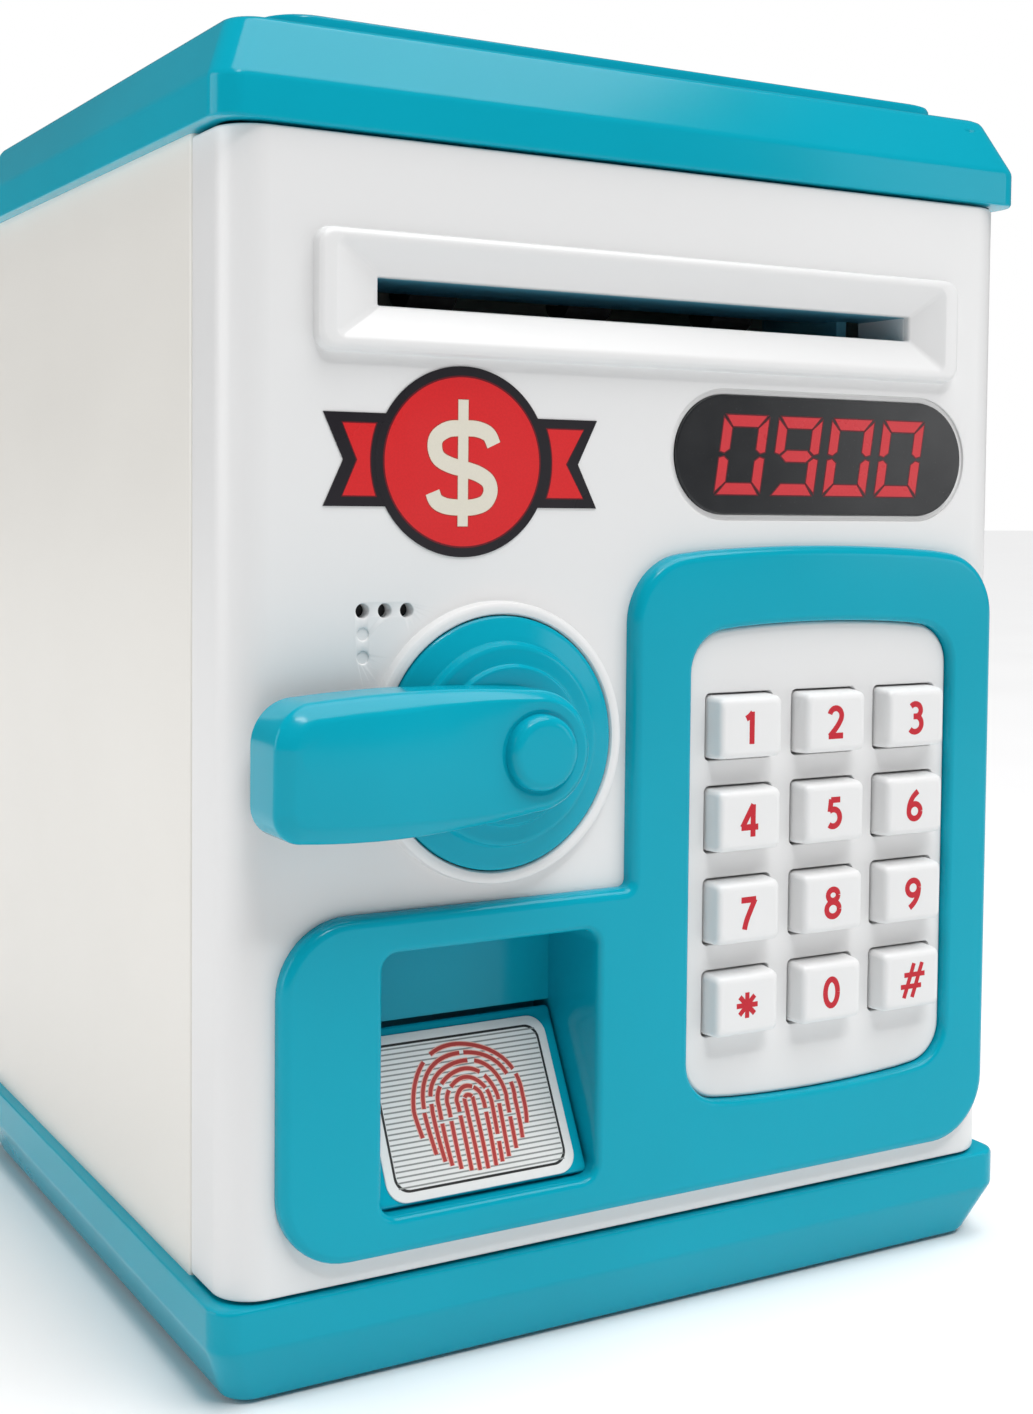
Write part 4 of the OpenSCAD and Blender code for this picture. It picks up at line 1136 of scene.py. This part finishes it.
def build_label():
    m = Maker(on_slope)
    x0, z0, x1, z1 = LABEL
    m.plate(round_rect(x0, z0, x1, z1, 3, 12), 0, [(0, 0.12), (0.06, 0.2)], 0)
    border = [m.ring(round_rect(x0 + a, z0 + a, x1 - a, z1 - a, 3 - a * 0.55, 12), h)
              for a, h in ((1.35, 0.19), (1.35, 0.212), (1.72, 0.212), (1.72, 0.19))]
    m.material = 2
    m.join(border + border[:1])
    m.finish("label", "finger_button", [LABEL_WHITE, LABEL_LINE, LABEL_BLACK], ["finger_label"],
             "label_print")
    mid = (z0 + z1) / 2
    m = Maker(on_slope)
    paths = [[(0.2 + px, mid + 0.2 + pz) for px, pz in path] for path in ridge_paths()]
    for material, width, front in ((1, 0.84, 0.222), (0, 0.58, 0.23)):
        m.material = material
        film(m, [stroke(p, width) for p in paths], 0.19, front, 0.0)
    m.finish("label_ridges", "finger_button", [RIDGE_RED, RIDGE_HALO], (), "label_print")


# ---------------------------------------------------------------------------
# Handle
# ---------------------------------------------------------------------------


def turned(name, body, profile, material, replaces=(), slot=None, steps=128, angle=32):
    """Lathe-turned piece about the handle's axis; the profile gives radius and height off the face."""
    m = Maker(on_face)
    first, last = m.join([m.ring(circle(AXIS_X, AXIS_Z, r, steps), -h) for r, h in profile])
    if profile[0] != profile[-1]:
        m.cap(first)
        m.cap(last)
    return m.finish(name, body, [material], replaces, slot, angle)


def build_rosette():
    """Stepped rings round the handle's axis, with a groove where the lever turns."""
    profile = [
        (3.58, 0), (18.4, 0), (18.4, 1.35), (18.3, 1.75), (18.0, 2.0), (17.6, 2.1), (15.35, 2.72),
        (14.85, 2.9), (14.6, 3.25), (14.5, 3.8), (14.35, 4.2), (14.0, 4.4), (13.6, 4.44), (12.1, 4.5),
        (11.65, 4.6), (11.45, 4.85), (11.4, 5.05), (11.25, 5.3), (10.95, 5.4), (8.3, 5.4),
        (8.0, 5.3), (7.85, 5.0), (7.7, 4.75), (7.4, 4.65), (3.58, 4.65), (3.58, 0),
    ]
    turned("rosette", "door", profile, TEAL, ["handle_rosette"], "teal_plastic")


LEVER_FRONT = -14.0
LEVER_ROUND = ((0.08, -12.55), (0.3, -12.85), (0.62, -13.1), (1.2, -13.42), (1.75, -13.7), (2.1, -13.87),
               (2.45, -13.97), (2.8, LEVER_FRONT))
LEVER_WALL = 2
HUB_R = 8.6
CROWN = 0.9
DIP = 0.75
CAP_PROFILE = [(5.4, 12.85), (5.35, 13.4), (5.3, 14.0), (5.2, 14.4), (5.0, 14.72), (4.7, 14.96),
               (4.3, 15.12), (3.8, 15.2), (1.5, 15.2)]


def lever_outline(amount=0.0):
    whole = (
        arc(AXIS_X, AXIS_Z, HUB_R, -90, 90, 32)
        + curve((AXIS_X, AXIS_Z + HUB_R), (-45, 100.35), (-61.3, 98.9), 16)
        + arc(-61.3, 92.7, 6.2, 90, 180, 14)
        + arc(-63.0, 84.7, 4.5, 180, 270, 12)
        + curve((-63.0, 80.2), (-45.7, 78.7), (AXIS_X, AXIS_Z - HUB_R), 16)
    )
    return inset(whole, amount) if amount else whole


def from_axis(x, z):
    return math.hypot(x - AXIS_X, z - AXIS_Z)


def shape_lever_front(m):
    """Crowns the lever's front from its middle line to its long edges, and dips it round the cap."""
    for v in m.bm.verts:
        x, depth, z = v.co.x / MM, v.co.y / MM - FACE_Y, v.co.z / MM
        if depth < -12.1:
            away = from_axis(x, z)
            v.co.y += CROWN * MM * ease(away, 7.2, 8) * ((z - AXIS_Z + 0.6) / 9.2) ** 2
            v.co.y += DIP * MM * (0.5 + 0.5 * math.cos(math.pi * ease(away, 8, 18)))


def build_lever():
    """Hollow lever with rolled front edges; its back is cut away where it passes over the rosette."""
    m = Maker(on_face)

    def back(x, z):
        return -5.7 if from_axis(x, z) < 20.6 else -4.2

    def slimmer_at_hub(amount):
        return lambda x, z: amount * (0.5 + 0.5 * ease(from_axis(x, z), 8, 14))

    sides = [m.ring(lever_outline(), depth) for depth in (back, -9.0, -12.2)]
    rolled = [m.ring(lever_outline(slimmer_at_hub(a)), d) for a, d in LEVER_ROUND]
    foot, front = m.join(sides + rolled)
    groove = [m.ring(circle(AXIS_X, AXIS_Z, r, 64), LEVER_FRONT + d)
              for r, d in ((6.1, 0), (5.85, 0.05), (5.6, 0.22), (4, 0.3))]
    before = set(m.bm.edges)
    m.fill(front, groove[0])
    across = [e for e in m.bm.edges if e not in before and len(e.link_faces) == 2]
    m.join(groove)
    m.cap(groove[-1])
    hollow = m.wall(lever_outline(LEVER_WALL), back, -12.0)
    m.skin(foot, hollow[0])
    m.cap(hollow[1])
    bmesh.ops.subdivide_edges(m.bm, edges=across, cuts=7, use_grid_fill=True)
    shape_lever_front(m)
    m.slab(circle(AXIS_X, AXIS_Z, 6, 48), -5.7, -12.4)
    m.finish("lever", "handle", [TEAL], ["handle_lever"], "teal_plastic", 38)
    turned("lever_cap", "handle", CAP_PROFILE, TEAL, ["handle_cap"], "teal_plastic", 96)


# ---------------------------------------------------------------------------
# Node trees for what repeats
# ---------------------------------------------------------------------------


def tree_with(name, inputs):
    """A geometry node tree with named inputs and a geometry output."""
    tree = bpy.data.node_groups.new(name, "GeometryNodeTree")
    tree.interface.new_socket("Geometry", in_out="INPUT", socket_type="NodeSocketGeometry")
    for label, kind in inputs:
        tree.interface.new_socket(label, in_out="INPUT", socket_type="NodeSocket" + kind)
    tree.interface.new_socket("Geometry", in_out="OUTPUT", socket_type="NodeSocketGeometry")
    tree.nodes.new("NodeGroupInput")
    tree.nodes.new("NodeGroupOutput")
    return tree


def wire(tree, *links):
    """Joins sockets; a link is (node, output, node, input)."""
    for source, output, target, socket in links:
        tree.links.new(source.outputs[output], target.inputs[socket])


def end_tree(tree, last):
    """Ends a tree in Realize Instances and Set Material."""
    start, end = tree.nodes["Group Input"], tree.nodes["Group Output"]
    realize = tree.nodes.new("GeometryNodeRealizeInstances")
    paint = tree.nodes.new("GeometryNodeSetMaterial")
    wire(tree, (last, "Instances", realize, "Geometry"), (realize, "Geometry", paint, "Geometry"),
         (start, "Material", paint, "Material"), (paint, "Geometry", end, "Geometry"))
    return tree


def row_tree():
    """Bars of one size in an even row."""
    tree = tree_with("even_bars", [("Count", "Int"), ("Pitch", "Vector"), ("Bar Size", "Vector"),
                                   ("Material", "Material")])
    start = tree.nodes["Group Input"]
    line = tree.nodes.new("GeometryNodeMeshLine")
    bar = tree.nodes.new("GeometryNodeMeshCube")
    put = tree.nodes.new("GeometryNodeInstanceOnPoints")
    wire(tree, (start, "Count", line, "Count"), (start, "Pitch", line, "Offset"),
         (start, "Bar Size", bar, "Size"), (line, "Mesh", put, "Points"), (bar, "Mesh", put, "Instance"))
    return end_tree(tree, put)


def sites_tree():
    """One item on every point of the mesh, all turned and sized alike."""
    tree = tree_with("items_on_sites", [("Item", "Object"), ("Turn", "Vector"), ("Size", "Float"),
                                        ("Material", "Material")])
    start = tree.nodes["Group Input"]
    info = tree.nodes.new("GeometryNodeObjectInfo")
    points = tree.nodes.new("GeometryNodeMeshToPoints")
    put = tree.nodes.new("GeometryNodeInstanceOnPoints")
    wire(tree, (start, "Item", info, "Object"), (start, "Geometry", points, "Mesh"),
         (points, "Points", put, "Points"), (info, "Geometry", put, "Instance"),
         (start, "Turn", put, "Rotation"), (start, "Size", put, "Scale"))
    return end_tree(tree, put)


ROW = row_tree()
SITES = sites_tree()


def grow(tree, sites, values):
    """Runs a node tree on a mesh of sites and returns the result as a plain mesh."""
    mesh = bpy.data.meshes.new("sites")
    mesh.from_pydata(sites, [], [])
    holder = bpy.data.objects.new("sites", mesh)
    bpy.context.scene.collection.objects.link(holder)
    modifier = holder.modifiers.new("grow", "NODES")
    modifier.node_group = tree
    for item in tree.interface.items_tree:
        if item.item_type == "SOCKET" and item.in_out == "INPUT" and item.name in values:
            modifier[item.identifier] = values[item.name]
    graph = bpy.context.evaluated_depsgraph_get()
    result = bpy.data.meshes.new_from_object(holder.evaluated_get(graph))
    holder.modifiers.remove(modifier)
    bpy.data.objects.remove(holder)
    return result


def build_label_lines():
    """Fine level lines across the label, laid flat first and then tipped on to the slope."""
    x0, z0, x1, z1 = LABEL
    count, edge = 27, 2.1
    pitch = (z1 - z0 - 2 * edge) / (count - 1)
    mesh = grow(ROW, [(0, 0, 0)], {
        "Count": count, "Pitch": (0, pitch, 0), "Bar Size": (x1 - x0 - 3.6, 0.24, 0.03),
        "Material": LABEL_LINE})
    for v in mesh.vertices:
        v.co = on_slope(v.co.x, z0 + edge + v.co.y, 0.2 + v.co.z)
    mesh.materials.clear()
    dress(mesh, "label_lines", "finger_button", [LABEL_LINE], ())


def screw_head(name, r, height, shank_r, shank):
    """Pan head with a cross recess, drawn along +Z with its seat at the origin, and a threaded shank."""
    m = Maker(lambda x, y, z: Vector((x, y, z)) * MM)
    wing, slim = r * 0.62, r * 0.16
    cross = [(wing, -slim), (wing, slim), (slim, slim), (slim, wing), (-slim, wing), (-slim, slim),
             (-wing, slim), (-wing, -slim), (-slim, -slim), (-slim, -wing), (slim, -wing), (slim, -slim)]
    seat, top = m.tube(lambda a: circle(0, 0, r - a, 32), [
        (r - shank_r, 0), (0, 0), (0, height * 0.45), (r * 0.1, height * 0.75), (r * 0.28, height)])
    recess = m.tube(lambda s: [(x * s, y * s) for x, y in cross], [(1, height), (0.6, height * 0.35)])
    m.fill(top, recess[0])
    m.cap(recess[1])
    pitch = max(shank_r * 0.55, 0.4)
    depth = -0.2
    last = seat
    while depth - pitch > -shank:
        for r_k, z_k in ((shank_r * 0.78, depth - pitch * 0.5), (shank_r, depth - pitch)):
            last = m.skin(last, m.ring(circle(0, 0, r_k, 32), z_k))
        depth -= pitch
    tip = m.ring(circle(0, 0, shank_r * 0.3, 32), -shank)
    m.skin(last, tip)
    m.cap(tip)
    bmesh.ops.recalc_face_normals(m.bm, faces=m.bm.faces)
    mesh = bpy.data.meshes.new(name)
    m.bm.to_mesh(mesh)
    m.bm.free()
    return bpy.data.objects.new(name, mesh)


def build_screws(node, sizes, turn, seats):
    """Replaces a set of alike screws by threaded ones with cross recesses."""
    item = screw_head("screw_item", *sizes)
    bpy.context.scene.collection.objects.link(item)
    mesh = grow(SITES, seats, {"Item": item, "Turn": turn, "Size": 1.0, "Material": STEEL})
    bpy.data.objects.remove(item)
    mesh.materials.clear()
    dress(mesh, node.replace("_screws", "_fixings"), NODE_BODY[node], [STEEL], [node])


def islands(node):
    """Boxes of a node's separate solids, in millimetres."""
    bm = bmesh.new()
    bm.from_mesh(frame["nodes"][node].data)
    bmesh.ops.remove_doubles(bm, verts=bm.verts, dist=1e-6)
    seen, boxes = set(), []
    for first in bm.verts:
        if first.index in seen:
            continue
        stack, group = [first], []
        seen.add(first.index)
        while stack:
            v = stack.pop()
            group.append(v.co.copy())
            for e in v.link_edges:
                other = e.other_vert(v)
                if other.index not in seen:
                    seen.add(other.index)
                    stack.append(other)
        low = Vector([min(c[k] for c in group) for k in range(3)]) / MM
        high = Vector([max(c[k] for c in group) for k in range(3)]) / MM
        boxes.append((low, high))
    bm.free()
    return sorted(boxes, key=lambda b: tuple(round(c, 3) for c in b[0]))


# Each set: height of the heads, radius of the shanks, and 1 where they enter from behind, 2 from below
SCREW_SETS = {
    "door_cover_screws": (1.5, 1.1, 1),
    "board_screws": (1.2, 0.9, 1),
    "base_screws": (2, 1.45, 2),
    "lid_screws": (2, 1.45, 2),
}


def build_all_screws():
    for node, (head, shank_r, axis) in SCREW_SETS.items():
        boxes = islands(node)
        seats = []
        for low, high in boxes:
            seat = (low + high) / 2
            seat[axis] = high.y - head if axis == 1 else low.z + head
            seats.append(tuple(seat * MM))
        low, high = boxes[0]
        sizes = ((high.x - low.x) / 2, head, shank_r, high[axis] - low[axis] - head)
        turn = (math.radians(-90 if axis == 1 else 180), 0, 0)
        build_screws(node, sizes, turn, seats)


# ---------------------------------------------------------------------------
# The other pieces: softened copies of their CAD shapes, or the shapes themselves
# ---------------------------------------------------------------------------


def softened(node, name, width, material, limit=35, segments=2):
    """A CAD piece with its sharp edges rolled over, as a moulding or a pressing has them."""
    bm = bmesh.new()
    bm.from_mesh(frame["nodes"][node].data)
    bmesh.ops.remove_doubles(bm, verts=bm.verts, dist=1e-6)
    bmesh.ops.dissolve_limit(bm, angle_limit=math.radians(0.5), verts=bm.verts, edges=bm.edges)
    sharp = [e for e in bm.edges if e.is_manifold and e.calc_face_angle(0) > math.radians(limit)]
    bmesh.ops.bevel(bm, geom=sharp, offset=width * MM, offset_type="OFFSET", segments=segments,
                    profile=0.5, affect="EDGES", clamp_overlap=True)
    mesh = bpy.data.meshes.new(name)
    bm.to_mesh(mesh)
    bm.free()
    return dress(mesh, name, NODE_BODY[node], [material], [node])


def paint(node, material):
    """Gives a CAD piece its material."""
    for place in frame["nodes"][node].material_slots:
        place.link = "OBJECT"
        place.material = material


# ---------------------------------------------------------------------------
# Stage and light
# ---------------------------------------------------------------------------


def build_stage():
    """Pale painted floor, level and wide."""
    mesh = bpy.data.meshes.new("floor")
    mesh.from_pydata([(-9, -9, 0), (9, -9, 0), (9, 9, 0), (-9, 9, 0)], [], [(0, 1, 2, 3)])
    n = Nodes("floor_paint")
    n.link(n.mix(n.noise(3, 4), (0.93, 0.93, 0.935), (0.95, 0.95, 0.95)), n.shader, "Base Color")
    n.link(n.ramp(n.noise(8, 4), 0.3, 0.7, 0.7, 0.85), n.shader, "Roughness")
    mesh.materials.append(n.material)
    floor = bpy.data.objects.new("floor", mesh)
    bpy.context.scene.collection.objects.link(floor)


def aim(lamp, place, target):
    lamp.location = place
    lamp.rotation_euler = (Vector(target) - Vector(place)).to_track_quat("-Z", "Y").to_euler()
    bpy.context.scene.collection.objects.link(lamp)


def soft_box(name, place, target, size, power):
    light = bpy.data.lights.new(name, "AREA")
    light.shape = "RECTANGLE"
    light.size, light.size_y = size
    light.energy = power
    aim(bpy.data.objects.new(name, light), place, target)


def overhead(name, place, spread, strength):
    """Broad even light from one side of the ceiling, the same all over the floor."""
    light = bpy.data.lights.new(name, "SUN")
    light.angle = math.radians(spread)
    light.energy = strength
    aim(bpy.data.objects.new(name, light), place, (0, 0, 0))


ROOM_LIGHT = 0.115


def light_the_room():
    """A dim room with a white backdrop, a broad ceiling light, a side fill and a narrow window."""
    world = bpy.data.worlds.new("room")
    bpy.context.scene.world = world
    world.use_nodes = True
    tree = world.node_tree
    room, backdrop = tree.nodes["Background"], tree.nodes.new("ShaderNodeBackground")
    for background, strength in ((room, ROOM_LIGHT), (backdrop, 1.0)):
        background.inputs["Color"].default_value = (1, 1, 1, 1)
        background.inputs["Strength"].default_value = strength
    path = tree.nodes.new("ShaderNodeLightPath")
    choose = tree.nodes.new("ShaderNodeMixShader")
    tree.links.new(path.outputs["Is Camera Ray"], choose.inputs[0])
    tree.links.new(room.outputs[0], choose.inputs[1])
    tree.links.new(backdrop.outputs[0], choose.inputs[2])
    tree.links.new(choose.outputs[0], tree.nodes["World Output"].inputs["Surface"])
    overhead("ceiling_light", (0.28, -0.44, 1.55), 50, 2.9)
    soft_box("side_fill", (-1.3, 0.4, 0.5), (0, 0.05, 0.09), (0.9, 0.9), 7.0)
    soft_box("right_fill", (0.65, -0.6, 0.25), (0, 0, 0.09), (0.3, 0.3), 0.6)
    soft_box("window", (-0.15, -0.9, 1.2), (0, 0, 0.1), (0.3, 0.08), 3.2)


# ---------------------------------------------------------------------------
# Making it all
# ---------------------------------------------------------------------------

build_lid()
build_base()
build_shell()
build_feet()
build_door()
build_trim()
build_keypad_plate()
for key in range(12):
    build_key(key)
    build_legend(key)
build_display()
build_badge()
build_rosette()
build_lever()
build_pad()
build_label()
build_label_lines()
build_all_screws()

ROLLED_EDGES = (
    ("door_back_cover", "back_cover", 0.3, CREAM),
    ("latch_bolt", "bolt", 0.25, PRESSED),
    ("latch_guide", "bolt_guides", 0.25, INNER),
    ("lock_solenoid", "solenoid", 0.4, CHIP),
    ("battery_box", "cell_box", 0.3, INNER),
    ("battery_cover", "cell_cover", 0.4, CREAM),
    ("feed_bracket", "feeder_frame", 0.25, FEEDER),
    ("latch_cam", "cam", 0.25, GEAR),
    ("speaker", "loudspeaker", 0.3, CHIP),
)
for node, name, width, finish in ROLLED_EDGES:
    softened(node, name, width, finish)
chute = softened("slot_guide", "chute", 0.2, FEEDER)
chute.data.materials.append(WHITE)
for face in chute.data.polygons:
    if abs(face.normal.x) > 0.9:
        face.material_index = 1

FINISHES = {
    "hinge_pins": STEEL, "latch_keeper": PRESSED, "key_membrane": SILICONE, "keypad_board": BOARD,
    "main_board": BOARD, "board_chips": CHIP, "finger_switch": CHIP, "feed_motor": PRESSED,
    "batteries": PRESSED, "battery_contacts": PRESSED, "battery_screw": STEEL, "handle_screw": STEEL,
    "lock_plunger": STEEL, "feed_shaft": STEEL, "feed_rollers": RUBBER, "roller_gear": GEAR,
    "pinch_shaft": STEEL, "pinch_rollers": RUBBER, "idler_gear": GEAR, "motor_pinion": BRASS,
}
for node, finish in FINISHES.items():
    paint(node, finish)

build_stage()
light_the_room()
bpy.context.scene.view_settings.view_transform = "Standard"
